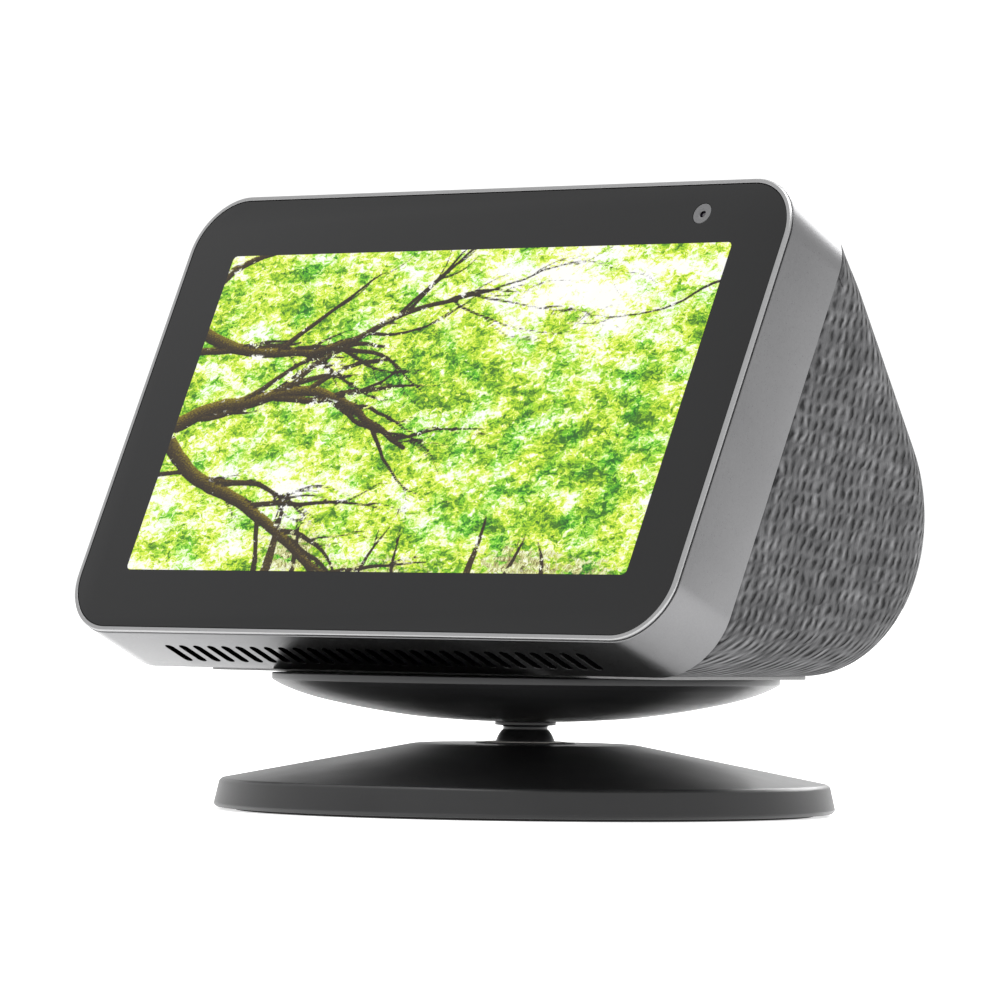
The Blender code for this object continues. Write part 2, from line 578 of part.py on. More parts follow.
def build_base():
    rim_radius, rim_height = RIM_TOP
    plateau_radius, plateau_height = PLATEAU
    profile = [(COLLAR_BORE, plateau_height), (plateau_radius, plateau_height), (plateau_radius + 0.9, 12.35),
               (rim_radius - 0.5, rim_height + 0.15), (rim_radius, rim_height - 0.3), (BASE_RADIUS, 1.1),
               (BASE_RADIUS - 0.5, 0.5), (54.7, 0.5), (54.0, rim_height - 1.7),
               (plateau_radius, plateau_height - BASE_WALL), (COLLAR_BORE, plateau_height - BASE_WALL)]
    turned("base_shell", profile, WIDE_STEPS, None, STAND_BLACK, closed=True)
    collar = ((7.7, 9.9), (7.7, 12.7), (7.9, 12.85), (9.1, 12.85), (9.1, 10.3), (13.2, 10.3), (13.2, 9.1),
              (8.9, 9.1), (8.9, 9.9))
    ring = turned("retaining_collar", collar, SMALL_STEPS, None, DARK_PLASTIC, closed=True)
    boolean(ring, cylinder_cutter(on_circle(SCREW_CIRCLE, 3), 1.15, 8.0, 11.0, SCREW_STEPS))
    for number, (x, y) in enumerate(on_circle(SCREW_CIRCLE, 3), 1):
        screw = ((0.0, 7.6), (1.7, 7.6), (1.8, 7.8), (1.8, 8.8), (0.85, 8.8), (0.85, 10.3), (0.0, 10.3))
        turned(f"collar_screw_{number}", screw, SCREW_STEPS, None, STEEL, location=(x, y, 0.0))
    ballast = ((0.0, 5.0), (13.6, 5.0), (13.6, 8.4), (20.0, 8.4), (52.4, 3.4), (52.4, 2.2), (0.0, 2.2))
    weight = turned("ballast_disc", ballast, WIDE_STEPS, None, DULL_STEEL)
    boolean(weight, cylinder_cutter(on_circle(COVER_SCREW_CIRCLE, 3, 30.0), 1.25, 1.0, 9.0, SCREW_STEPS))
    cover = ((0.0, 1.9), (54.3, 1.9), (54.3, 0.8), (53.2, 0.8), (53.2, 1.3), (49.2, 1.3), (49.2, 0.8),
             (0.0, 0.8))
    cover_plate = turned("bottom_cover", cover, WIDE_STEPS, None, DARK_PLASTIC)
    boolean(cover_plate, cylinder_cutter(on_circle(COVER_SCREW_CIRCLE, 3, 30.0), 1.25, 0.0, 3.0, SCREW_STEPS))
    for number, (x, y) in enumerate(on_circle(COVER_SCREW_CIRCLE, 3, 30.0), 1):
        screw = ((0.0, 0.1), (2.3, 0.1), (2.5, 0.25), (2.5, 0.7), (1.0, 0.7), (1.0, 5.5), (0.0, 5.5))
        turned(f"cover_screw_{number}", screw, SCREW_STEPS, None, STEEL, location=(x, y, 0.0))
    grip = ((49.5, 0.0), (52.9, 0.0), (52.9, 1.0), (49.5, 1.0))
    turned("rubber_ring", grip, WIDE_STEPS, None, RUBBER, closed=True)


def main():
    clear_scene()
    swivel = make_empty("swivel_axis")
    tilt = make_empty("tilt_axis", (0.0, 0.0, BALL_Z), parent=swivel)
    spin = make_empty("spin_axis", (0.0, 0.0, -BALL_Z), parent=tilt)
    face = make_empty("face_frame", SCREEN_CENTRE, -FACE_LEAN, spin)
    ports = make_empty("port_frame", (0.0, *BELLY_CENTRE), PORT_ANGLE, spin)
    build_front_frame(face)
    build_screen(face)
    build_camera(face)
    build_shutter(face)
    build_buttons(face)
    build_back(face, ports)
    build_speaker(spin)
    build_ports(ports)
    build_tray(spin)
    build_ball_joint(None, swivel, tilt)
    build_base()


main()
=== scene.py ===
"""The looks of a small smart display with a fabric wedge back, on a round tilt and swivel stand.

Lengths are in millimetres up to the point where a mesh is placed in the frame, which is in metres.
"""
import json
import math

import bmesh
import bpy
import numpy as np
from mathutils import Matrix, Vector


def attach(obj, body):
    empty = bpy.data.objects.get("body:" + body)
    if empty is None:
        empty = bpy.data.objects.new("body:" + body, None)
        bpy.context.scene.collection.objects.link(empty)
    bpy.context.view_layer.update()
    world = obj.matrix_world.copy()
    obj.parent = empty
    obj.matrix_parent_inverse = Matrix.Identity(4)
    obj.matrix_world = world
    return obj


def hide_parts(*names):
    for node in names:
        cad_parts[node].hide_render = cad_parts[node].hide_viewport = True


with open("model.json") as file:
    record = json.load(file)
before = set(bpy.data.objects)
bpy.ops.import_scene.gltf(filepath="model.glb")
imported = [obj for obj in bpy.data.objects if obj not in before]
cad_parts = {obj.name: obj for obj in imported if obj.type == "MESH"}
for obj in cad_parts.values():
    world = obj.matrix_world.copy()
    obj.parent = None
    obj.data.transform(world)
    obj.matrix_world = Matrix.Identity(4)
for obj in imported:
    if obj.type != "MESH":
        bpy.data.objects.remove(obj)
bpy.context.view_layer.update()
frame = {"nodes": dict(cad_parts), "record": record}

MM = 0.001

# Driving dimensions, nearly all shared with the CAD model
FACE_LEAN = math.radians(24.86)
SCREEN_CENTRE = (0.0, -28.66, 73.0)
FRAME_WIDTH, FRAME_HEIGHT, FRAME_RISE, FRAME_RADIUS = 148.0, 90.2, 0.1, 11.7
FRAME_DEPTH, FRAME_WALL, LIP_WIDTH = 15.6, 1.7, 0.94
GLASS_INSET, GLASS_FRONT, GLASS_BACK, GLASS_HOLE_RADIUS = 1.04, 0.05, 1.3, 2.06
IMAGE_WIDTH, IMAGE_HEIGHT, IMAGE_RADIUS = 123.3, 64.9, 1.0
SLOT_COUNT, SLOT_PITCH, SLOT_WIDTH, SLOT_DEPTHS = 29, 3.62, 1.95, (5.8, 12.7)
CAMERA_X, CAMERA_Z = 52.2, 38.4
SHUTTER_X, SHUTTER_TRAVEL, SHUTTER_DEPTH = 45.8, 6.0, 5.5
SHUTTER_TRACK, SHUTTER_THUMB = (4.6, 2.4), (8.0, 3.4)
BUTTON_DEPTH, BUTTON_SIZE, BUTTON_HOLE_GROWTH = 8.0, (9.0, 3.6), 0.36
BUTTONS = {"mic_button": -14.0, "volume_down_button": 2.0, "volume_up_button": 18.0}
MIC_HOLES, MIC_HOLE_WIDTH = (-30.0, 34.0), 1.3
FRAME_TOP, FRAME_BOTTOM = FRAME_RISE + FRAME_HEIGHT / 2, FRAME_RISE - FRAME_HEIGHT / 2
BODY_HALF_WIDTH, BODY_TOP, BODY_FRONT = 73.8, FRAME_TOP - 0.2, 15.9
BELLY_CENTRE, BELLY_RADIUS = (2.0, 54.3), 28.3
BODY_BOTTOM = BELLY_CENTRE[1] - BELLY_RADIUS
BODY_CORNER, EDGE_RADIUS, EDGE_BLEND = FRAME_RADIUS - 0.2, 9.3, 14.0
FLAT_HALF_WIDTH = BODY_HALF_WIDTH - EDGE_RADIUS
FABRIC_THICKNESS = 0.9
PORT_ANGLE, PORT_PANEL, PORT_FACE = math.radians(38.0), (42.0, 11.0), 27.2
PORT_SPACING, PORT_HOLE_RADIUS, SERVICE_HOLE = 12.5, 3.45, (9.2, 4.0)
FOOT_WIDTH, FOOT_DEPTH, FOOT_RADIUS, FOOT_CENTRE_Y = 114.0, 39.5, 3.0, -6.0
TRAY_RADIUS, TRAY_TOP, LID_RADIUS, LID_THICKNESS = 46.5, 25.1, 44.75, 0.9
BALL_Z, BALL_RADIUS, BALL_TOP, STEM_RADIUS = 11.45, 5.64, 15.1, 4.1
BASE_RADIUS = 56.9

FACE = (Matrix.Translation(Vector(SCREEN_CENTRE) * MM) @ Matrix.Rotation(-FACE_LEAN, 4, "X")
        @ Matrix.Scale(MM, 4))
PORTS = (Matrix.Translation(Vector((0, *BELLY_CENTRE)) * MM) @ Matrix.Rotation(-PORT_ANGLE, 4, "X")
         @ Matrix.Scale(MM, 4))
STAND = Matrix.Scale(MM, 4)

# Knitted cloth
STITCH_WIDTH, STITCH_HEIGHT = 2.09, 2.72

# What the pictured wood's mesh says at each of its points
PICTURE_LAYERS = ("limb", "sky", "shade", "ground", "moss")
PICTURE_SEED = 11

# Light. A softbox has a name, a place in metres, a width, a height and a power in watts.
WHITE = (1.0, 1.0, 1.0, 1.0)
WORLD_STRENGTH, FLOOR_GLOW, FLOOR_HALF_SIZE = 1.1, 0.7, 14.0
SOFTBOXES = (("top_softbox", (0.1, 0.1, 1.1), 1.0, 1.0, 10.0),
             ("back_softbox", (-0.19, 1.1, 0.53), 0.9, 0.35, 5.0))
AIM_POINT = (0.0, 0.0, 0.06)

# Camera: turns in degrees, place in metres, lens in millimetres
CAMERA_TURNS, CAMERA_PLACE = (42.630, 0.683, -0.734), (0.9189, -1.0059, 0.04085)
CAMERA_LENS, CAMERA_SENSOR = 267.86, 36.0


# --- materials ---

class Finish:
    """A node material under construction. add() makes a node, and takes values or sockets as inputs."""

    def __init__(self, name, **settings):
        self.material = bpy.data.materials.new(name)
        self.material.use_nodes = True
        self.tree = self.material.node_tree
        self.shader = self.tree.nodes["Principled BSDF"]
        for socket, value in settings.items():
            self.shader.inputs[socket.replace("_", " ")].default_value = value

    def add(self, kind, inputs=None, out=0, **properties):
        node = self.tree.nodes.new("ShaderNode" + kind)
        for key, value in properties.items():
            setattr(node, key, value)
        for key, value in (inputs or {}).items():
            self.join(value, node.inputs[key])
        return node.outputs[out]

    def join(self, value, socket):
        if isinstance(value, bpy.types.NodeSocket):
            self.tree.links.new(value, socket)
        else:
            socket.default_value = value

    def plug(self, socket, value):
        self.join(value, self.shader.inputs[socket])

    def math(self, operation, *values):
        return self.add("Math", dict(enumerate(values)), operation=operation)

    def position(self):
        return self.add("TexCoord", out=3)

    def attribute(self, name):
        return self.add("Attribute", out=2, attribute_name=name)

    def stretch(self, vector, scale):
        return self.add("VectorMath", {0: vector, 1: scale}, operation="MULTIPLY")

    def noise(self, vector, scale, detail=3.0, roughness=0.5, out=0):
        return self.add("TexNoise", {"Vector": vector, "Scale": scale, "Detail": detail,
                                     "Roughness": roughness}, out=out)

    def wobble(self, vector, scale, detail, roughness):
        """A random vector about zero, which changes slowly over the surface."""
        drift = self.noise(vector, scale, detail, roughness, out=1)
        return self.add("VectorMath", {0: drift, 1: (0.5, 0.5, 0.5)}, operation="SUBTRACT")

    def shifted(self, vector, push, amount):
        """A vector moved by push times amount."""
        return self.add("VectorMath", {0: push, 1: amount, 2: vector}, operation="MULTIPLY_ADD")

    def split(self, vector):
        node = self.tree.nodes.new("ShaderNodeSeparateXYZ")
        self.join(vector, node.inputs[0])
        return node.outputs

    def spread(self, value, low, high, to_low=0.0, to_high=1.0):
        """Maps low..high to to_low..to_high, and clamps."""
        return self.add("MapRange", {"Value": value, "From Min": low, "From Max": high, "To Min": to_low,
                                     "To Max": to_high})

    def around(self, value, weight, total):
        """total plus weight times how far a noise value is from its middle."""
        return self.math("MULTIPLY_ADD", self.math("SUBTRACT", value, 0.5), weight, total)

    def speckled(self, tone, grain, seen, factors):
        """A tone made darker and lighter by a grain, whose range seen becomes the range factors."""
        value = self.spread(grain, *seen, *factors)
        return self.mix(1.0, tone, self.add("CombineColor", {0: value, 1: value, 2: value}), "MULTIPLY")

    def ramp(self, value, stops):
        node = self.tree.nodes.new("ShaderNodeValToRGB")
        self.join(value, node.inputs[0])
        band = node.color_ramp.elements
        while len(band) < len(stops):
            band.new(1.0)
        for element, (place, color) in zip(band, stops):
            element.position = place
            element.color = (*color, 1.0)
        return node.outputs[0]

    def mix(self, factor, first, second, blend="MIX"):
        node = self.tree.nodes.new("ShaderNodeMix")
        node.data_type = "RGBA"
        node.blend_type = blend
        for value, socket in ((factor, node.inputs[0]), (first, node.inputs[6]), (second, node.inputs[7])):
            if isinstance(value, tuple) and len(value) == 3:
                value = (*value, 1.0)
            self.join(value, socket)
        return node.outputs[2]

    def bump(self, height, distance_mm, strength=1.0):
        self.plug("Normal", self.add("Bump", {"Strength": strength, "Distance": distance_mm * MM,
                                              "Height": height}))


def moulded(name, color, roughness, grain_mm=0.35, grain_depth=0.02, wear=0.12, **settings):
    """Moulded plastic: fine spark-eroded grain, slight tone drift and uneven sheen."""
    finish = Finish(name, Roughness=roughness, **settings)
    place = finish.position()
    grain = finish.noise(place, 1 / (grain_mm * MM), 4.0, 0.65)
    drift = finish.noise(place, 55.0, 3.0, 0.5)
    dark = tuple(channel * (1 - wear) for channel in color)
    light = tuple(min(1.0, channel * (1 + wear)) for channel in color)
    tone = finish.mix(finish.spread(drift, 0.35, 0.65), dark, light)
    finish.plug("Base Color", finish.speckled(tone, grain, (0.3, 0.7), (0.93, 1.07)))
    finish.plug("Roughness", finish.spread(drift, 0.3, 0.7, roughness - 0.03, roughness + 0.04))
    finish.bump(grain, grain_depth)
    return finish.material


def metal(name, color, roughness, stretch=(1.0, 1.0, 1.0), grain_mm=0.3, grain_depth=0.01):
    """Plated or rolled metal with fine marks, drawn out along one direction where stretch says so."""
    finish = Finish(name, Metallic=1.0, Roughness=roughness)
    place = finish.stretch(finish.position(), stretch)
    marks = finish.noise(place, 1 / (grain_mm * MM), 5.0, 0.6)
    stains = finish.noise(finish.position(), 90.0, 4.0, 0.6)
    dull = tuple(channel * 0.8 for channel in color)
    finish.plug("Base Color", finish.mix(finish.spread(stains, 0.35, 0.7), color, dull))
    finish.plug("Roughness", finish.spread(marks, 0.3, 0.7, roughness - 0.07, roughness + 0.1))
    finish.bump(marks, grain_depth)
    return finish.material


def painted_band():
    """The front frame: satin grey paint with a fine even texture, and a lip made lighter as a painted
    highlight.

    The walls of the vent slots are painted near black and made rougher, as painted shade in the slots."""
    finish = Finish("frame_paint", Metallic=1.0, Roughness=0.3)
    place = finish.position()

    def along(direction):
        """The distance from the face's centre along a direction."""
        offset = Vector(direction).dot(Vector(SCREEN_CENTRE) * MM)
        reach = finish.add("VectorMath", {0: place, 1: direction}, out=1, operation="DOT_PRODUCT")
        return finish.math("SUBTRACT", reach, offset)

    depth = along((0.0, math.cos(FACE_LEAN), -math.sin(FACE_LEAN)))
    rise = along((0.0, math.sin(FACE_LEAN), math.cos(FACE_LEAN)))
    sideways = finish.math("ABSOLUTE", along((1.0, 0.0, 0.0)))
    # Painted shade on the slots' walls: past the skin, and within the wall and the row
    shaded_slot_walls = 1.0
    for value, low, high, to_low in ((rise, FRAME_BOTTOM + 0.005, FRAME_BOTTOM + 0.02, 0.0),
                                     (rise, FRAME_BOTTOM + 2.0, FRAME_BOTTOM + 2.1, 1.0),
                                     (sideways, 54.0, 54.5, 1.0), (depth, 3.4, 3.6, 0.0)):
        shaded_slot_walls = finish.math("MULTIPLY", shaded_slot_walls, finish.spread(value, low * MM, high * MM, to_low, 1.0 - to_low))
    # Painted highlight: the lip's lighter tone stands in for light caught on its rounded edge.
    lip_highlight = finish.spread(depth, 0.4 * MM, 0.95 * MM, 1.0, 0.0)
    grain = finish.noise(place, 2600.0, 3.0, 0.7)
    drift = finish.noise(place, 40.0, 2.0, 0.5)
    band = finish.mix(finish.spread(drift, 0.35, 0.65), (0.168, 0.168, 0.171), (0.182, 0.182, 0.185))
    tone = finish.mix(lip_highlight, band, (0.33, 0.33, 0.332))
    painted = finish.speckled(tone, grain, (0.25, 0.75), (0.94, 1.06))
    # Painted shade: the slot walls turn near black.
    finish.plug("Base Color", finish.mix(shaded_slot_walls, painted, (0.003, 0.003, 0.003)))
    sheen = finish.spread(grain, 0.3, 0.7, 0.27, 0.33)
    finish.plug("Roughness", finish.math("MULTIPLY_ADD", shaded_slot_walls, 0.3, sheen))
    finish.bump(grain, 0.003)
    return finish.material


def border_glass():
    """The cover glass over its printed dark border, with a faint anti-glare haze."""
    finish = Finish("border_glass", Roughness=0.16, IOR=1.5, Specular_IOR_Level=0.3)
    place = finish.position()
    haze = finish.noise(place, 2200.0, 3.0, 0.6)
    smear = finish.noise(finish.stretch(place, (1.0, 2.2, 2.2)), 28.0, 4.0, 0.55)
    finish.plug("Base Color", finish.mix(haze, (0.0035, 0.0036, 0.0038), (0.0055, 0.0056, 0.006)))
    finish.plug("Roughness", finish.spread(smear, 0.35, 0.7, 0.13, 0.2))
    finish.bump(haze, 0.001)
    return finish.material


def lens_glass():
    finish = Finish("lens_glass", Roughness=0.04, IOR=1.6, Coat_Weight=1.0, Coat_Roughness=0.02)
    place = finish.position()
    tint = finish.spread(finish.noise(place, 900.0, 2.0), 0.3, 0.7)
    finish.plug("Base Color", finish.mix(tint, (0.003, 0.003, 0.006), (0.008, 0.006, 0.012)))
    return finish.material


def fabric_weave():
    """Grey knitted cloth: columns of stitches with a slit in each, wrapped round the body. The slits are
    darkened as painted shade and the crowns lightened as painted highlight.

    The columns run down the slope and the belly. On the sides they run down too, and bend forward near the
    hem. The run attribute is the distance down the body's side view."""
    finish = Finish("fabric_weave", Roughness=0.92, Sheen_Weight=0.06, Sheen_Roughness=0.6,
                    Specular_IOR_Level=0.25)
    place = finish.stretch(finish.position(), (1 / MM, 1 / MM, 1 / MM))
    x, y, z = finish.split(place)
    sideways = finish.math("ABSOLUTE", x)
    outward = finish.math("DIVIDE", finish.math("MINIMUM", sideways, FLAT_HALF_WIDTH), FLAT_HALF_WIDTH)
    height = finish.math("SUBTRACT", z, BODY_BOTTOM)
    # A side column's foot in y, its slope, and the hem's pull, which fades with height
    column_foot, column_slope, hem_pull, hem_fade = 23.0, 0.25, -5.0, 6.0
    bend = finish.math("EXPONENT", finish.math("DIVIDE", height, -hem_fade))
    lean = finish.math("MULTIPLY_ADD", height, column_slope,
                       finish.math("MULTIPLY_ADD", bend, hem_pull, column_foot))
    on_side = finish.math("MULTIPLY", finish.math("SUBTRACT", lean, y), finish.math("POWER", outward, 3.0))
    across = finish.math("MULTIPLY", finish.math("ADD", sideways, on_side), finish.math("SIGN", x))
    # Down the side: the run's start, its rise to the back and its stretch at the hem
    run_start, back_rise, hem_stretch = 112.0, -0.085, 0.8
    drop = finish.math("MULTIPLY_ADD", bend, hem_stretch, finish.math("SUBTRACT", run_start, z))
    side_run = finish.math("MULTIPLY_ADD", y, back_rise, drop)
    run = finish.attribute("run")
    along = finish.math("MULTIPLY_ADD", finish.math("SUBTRACT", side_run, run),
                        finish.math("MULTIPLY", outward, outward), run)
    flow = finish.add("CombineXYZ", {0: across, 1: along})

    grid = finish.stretch(flow, (1 / STITCH_WIDTH, 1 / STITCH_HEIGHT, 1.0))
    grid = finish.shifted(grid, finish.wobble(flow, 0.11, 2.0, 0.5), (1.5, 1.3, 0.0))
    grid = finish.shifted(grid, finish.wobble(flow, 0.42, 2.0, 0.6), (0.6, 0.65, 0.0))

    def stitch(offset, width, tall):
        """A soft spot in each cell of the grid, and a random number for the cell."""
        moved = finish.add("VectorMath", {0: grid, 1: offset}, operation="ADD")
        cell = finish.add("VectorMath", {0: moved}, operation="FLOOR")
        chance, nudge = (finish.add("TexWhiteNoise", {"Vector": cell}, out=out, noise_dimensions="3D")
                         for out in (0, 1))
        local = finish.add("VectorMath", {0: moved}, operation="FRACTION")
        local = finish.add("VectorMath", {0: local, 1: (0.5, 0.5, 0.0)}, operation="SUBTRACT")
        nudge = finish.add("VectorMath", {0: nudge, 1: (0.5, 0.5, 0.5)}, operation="SUBTRACT")
        aside, up, _ = finish.split(finish.shifted(local, nudge, (0.14, 0.14, 0.0)))
        slant = finish.math("MULTIPLY_ADD", up, -0.3, aside)
        wide, high = (finish.math("POWER", finish.math("ABSOLUTE", finish.math("DIVIDE", value, size)), 2.0)
                      for value, size in ((slant, width), (up, tall)))
        spot = finish.math("EXPONENT", finish.math("MULTIPLY", finish.math("ADD", wide, high), -1.0))
        return spot, chance

    slit, slit_chance = stitch((0.0, 0.0, 0.0), 0.2, 0.3)
    crown, crown_chance = stitch((0.5, 0.08, 7.0), 0.24, 0.4)
    bar, bar_chance = stitch((0.25, 0.5, 3.0), 0.4, 0.22)
    fibre = finish.noise(finish.stretch(flow, (3.4, 0.55, 1.0)), 1.0, 4.0, 0.65)
    patch = finish.noise(finish.stretch(flow, (0.6, 1.0, 1.0)), 0.16, 3.0, 0.6)

    # Painted shade darkens the slits and painted highlight lightens the crowns; the bars' tone differs at
    # random.
    shade = 0.56
    for spot, chance, least, most, weight in ((slit, slit_chance, 0.3, 1.35, -0.74),
                                              (crown, crown_chance, 0.1, 1.0, 0.4),
                                              (bar, bar_chance, -1.0, 1.0, 0.12)):
        strength = finish.math("MULTIPLY", spot, finish.spread(chance, 0, 1, least, most))
        shade = finish.math("MULTIPLY_ADD", strength, weight, shade)
    shade = finish.around(patch, 0.55, finish.around(fibre, 0.4, shade))
    finish.plug("Base Color", finish.ramp(shade, [(0.0, (0.006, 0.006, 0.0065)), (0.3, (0.023, 0.023, 0.024)),
                                                  (0.55, (0.06, 0.06, 0.062)), (0.8, (0.122, 0.122, 0.125)),
                                                  (1.0, (0.19, 0.19, 0.194))]))
    relief = finish.math("MULTIPLY_ADD", slit, -1.0, finish.math("MULTIPLY", crown, 0.4))
    finish.bump(finish.math("MULTIPLY_ADD", fibre, 0.25, relief), 0.3, 0.8)
    return finish.material


def picture():
    """A picture of a leafy wood in sunlight. The mesh holds where its limbs, sky, shade and ground are."""
    finish = Finish("picture", Roughness=0.16, IOR=1.5, Specular_IOR_Level=0.3, Emission_Strength=0.98,
                    Base_Color=(0.002, 0.002, 0.002, 1.0))
    flat = finish.add("UVMap", uv_map="picture")
    limb, sky, shade, ground, moss = (finish.attribute(name) for name in PICTURE_LAYERS)
    around = finish.around
    bent = finish.shifted(flat, finish.wobble(flat, 0.5, 3.0, 0.6), (3.2, 2.2, 0.0))

    def scatter(scale_x, scale_y):
        """Small leaf-shaped cells, each with a tone of its own."""
        cells = finish.stretch(bent, (scale_x, scale_y, 1.0))
        return finish.add("TexVoronoi", {"Vector": cells, "Scale": 1.0}, out=1, voronoi_dimensions="2D")

    spray = finish.noise(finish.stretch(bent, (0.45, 1.0, 1.0)), 0.2, 4.0, 0.6)
    tuft = finish.noise(finish.stretch(bent, (0.6, 1.0, 1.0)), 0.75, 3.0, 0.65)
    hue = finish.noise(bent, 0.11, 3.0, 0.6)
    leaf, fleck = scatter(1.3, 2.1), scatter(2.6, 3.6)
    mist = finish.noise(finish.stretch(bent, (0.8, 1.4, 1.0)), 2.4, 3.0, 0.7)

    light = around(spray, 1.9, finish.math("SUBTRACT", finish.math("ADD", sky, 0.5), shade))
    light = around(mist, 1.1, around(fleck, 0.25, around(leaf, 0.4, around(tuft, 1.2, light))))
    fresh = finish.ramp(light, [(0.1, (0.05, 0.17, 0.003)), (0.28, (0.2, 0.48, 0.006)),
                                (0.42, (0.46, 0.76, 0.012)), (0.56, (0.78, 0.93, 0.05)),
                                (0.7, (0.96, 1.0, 0.34)), (0.82, (1.0, 1.0, 0.95))])
    cool = finish.ramp(light, [(0.1, (0.015, 0.13, 0.004)), (0.28, (0.07, 0.44, 0.008)),
                               (0.43, (0.25, 0.76, 0.02)), (0.56, (0.6, 0.92, 0.16)),
                               (0.7, (0.88, 1.0, 0.6)), (0.82, (1.0, 1.0, 1.0))])
    leaves = finish.mix(finish.spread(hue, 0.46, 0.62), fresh, cool)

    stalk = finish.noise(finish.stretch(bent, (3.2, 0.5, 1.0)), 1.3, 4.0, 0.7)
    thicket = finish.ramp(around(leaf, 0.25, around(tuft, 0.7, around(stalk, 1.5, 0.54))),
                          [(0.22, (0.03, 0.012, 0.008)), (0.38, (0.17, 0.09, 0.05)), (0.5, (0.42, 0.4, 0.12)),
                           (0.64, (0.8, 0.86, 0.36)), (0.8, (1.0, 1.0, 0.9))])
    near_ground = finish.spread(around(tuft, 1.4, ground), 0.3, 0.5)
    scene = finish.mix(near_ground, leaves, thicket)

    rough = finish.noise(finish.stretch(flat, (1.0, 1.6, 1.0)), 2.2, 3.0, 0.6)
    edge = around(rough, 0.35, limb)
    bark = finish.ramp(around(rough, 0.9, moss),
                       [(0.25, (0.01, 0.006, 0.003)), (0.55, (0.05, 0.03, 0.006)), (0.75, (0.2, 0.15, 0.005)),
                        (0.95, (0.42, 0.34, 0.01))])
    mask = finish.spread(edge, 0.08, -0.08)
    veil = finish.spread(around(mist, 0.5, around(spray, 1.2, tuft)), 0.64, 0.68, 1.0, 0.0)
    cover = finish.math("MULTIPLY", mask, finish.math("MAXIMUM", veil, finish.spread(limb, -0.3, -0.7)))
    finish.plug("Emission Color", finish.mix(cover, scene, bark))
    return finish.material


def circuit_board(name):
    """Green solder mask over faint copper tracks."""
    finish = Finish(name, Roughness=0.35, Coat_Weight=0.4)
    place = finish.position()
    tracks = finish.add("TexBrick", {"Vector": place, "Scale": 260.0, "Mortar Size": 0.06,
                                     "Color1": (0, 0, 0, 1), "Color2": (0.3, 0.3, 0.3, 1),
                                     "Mortar": (1, 1, 1, 1)})
    cloud = finish.noise(place, 220.0, 3.0)
    mask = finish.mix(cloud, (0.006, 0.06, 0.025), (0.012, 0.1, 0.045))
    finish.plug("Base Color", finish.mix(finish.math("MULTIPLY", tracks, 0.5), mask, (0.05, 0.17, 0.06)))
    finish.bump(tracks, 0.03)
    return finish.material


def cast_weight():
    finish = Finish("cast_weight_skin", Roughness=0.6, Metallic=0.6)
    place = finish.position()
    pits = finish.noise(place, 1400.0, 5.0, 0.7)
    rust = finish.noise(place, 130.0, 4.0, 0.6)
    finish.plug("Base Color", finish.mix(finish.spread(rust, 0.55, 0.75, 0.0, 0.5), (0.09, 0.09, 0.095),
                                         (0.12, 0.07, 0.05)))
    finish.bump(pits, 0.08)
    return finish.material


def pressed_pulp():
    finish = Finish("pressed_pulp", Roughness=0.9)
    place = finish.position()
    pulp = finish.noise(finish.stretch(place, (1.0, 3.0, 1.0)), 1800.0, 4.0, 0.7)
    finish.plug("Base Color", finish.mix(pulp, (0.03, 0.03, 0.032), (0.07, 0.07, 0.072)))
    finish.bump(pulp, 0.05)
    return finish.material


def backlit_panel():
    finish = Finish("panel_reflector", Roughness=0.45)
    place = finish.position()
    cells = finish.noise(place, 600.0, 2.0)
    finish.plug("Base Color", finish.mix(cells, (0.42, 0.43, 0.45), (0.6, 0.61, 0.62)))
    finish.bump(cells, 0.01)
    return finish.material


def make_slots():
    """One material for each material slot of the record."""
    return {
        "frame_band": painted_band(),
        "cover_glass": border_glass(),
        "lcd_panel": backlit_panel(),
        "dull_steel": metal("zinc_steel", (0.3, 0.3, 0.31), 0.45, (1.0, 6.0, 1.0)),
        "aluminium": metal("rolled_aluminium", (0.62, 0.62, 0.63), 0.36, (1.0, 8.0, 8.0)),
        "circuit_board": circuit_board("solder_mask"),
        "bright_steel": metal("plated_steel", (0.5, 0.5, 0.51), 0.28),
        "camera_ring": moulded("camera_trim", (0.1, 0.1, 0.103), 0.45, 0.12, 0.01, Coat_Weight=0.1),
        "lens_glass": lens_glass(),
        "dark_plastic": moulded("dark_plastic_skin", (0.014, 0.014, 0.015), 0.42),
        "button_plastic": moulded("button_skin", (0.05, 0.05, 0.052), 0.38, 0.2, 0.01),
        "fabric": fabric_weave(),
        "surround_rubber": moulded("surround_skin", (0.015, 0.015, 0.015), 0.7, 0.5, 0.03),
        "cone_paper": pressed_pulp(),
        "stand_black": moulded("stand_skin", (0.011, 0.011, 0.0115), 0.32, 0.28, 0.012, 0.1,
                               Specular_IOR_Level=0.42),
        "foot_pad": moulded("foot_skin", (0.2, 0.2, 0.2), 0.6, 0.5, 0.03, 0.06),
        "nylon": moulded("nylon_skin", (0.62, 0.6, 0.55), 0.5, 0.4, 0.02),
        "cast_weight": cast_weight(),
        "rubber": moulded("rubber_skin", (0.018, 0.018, 0.018), 0.75, 0.6, 0.05),
    }


# --- shapes ---

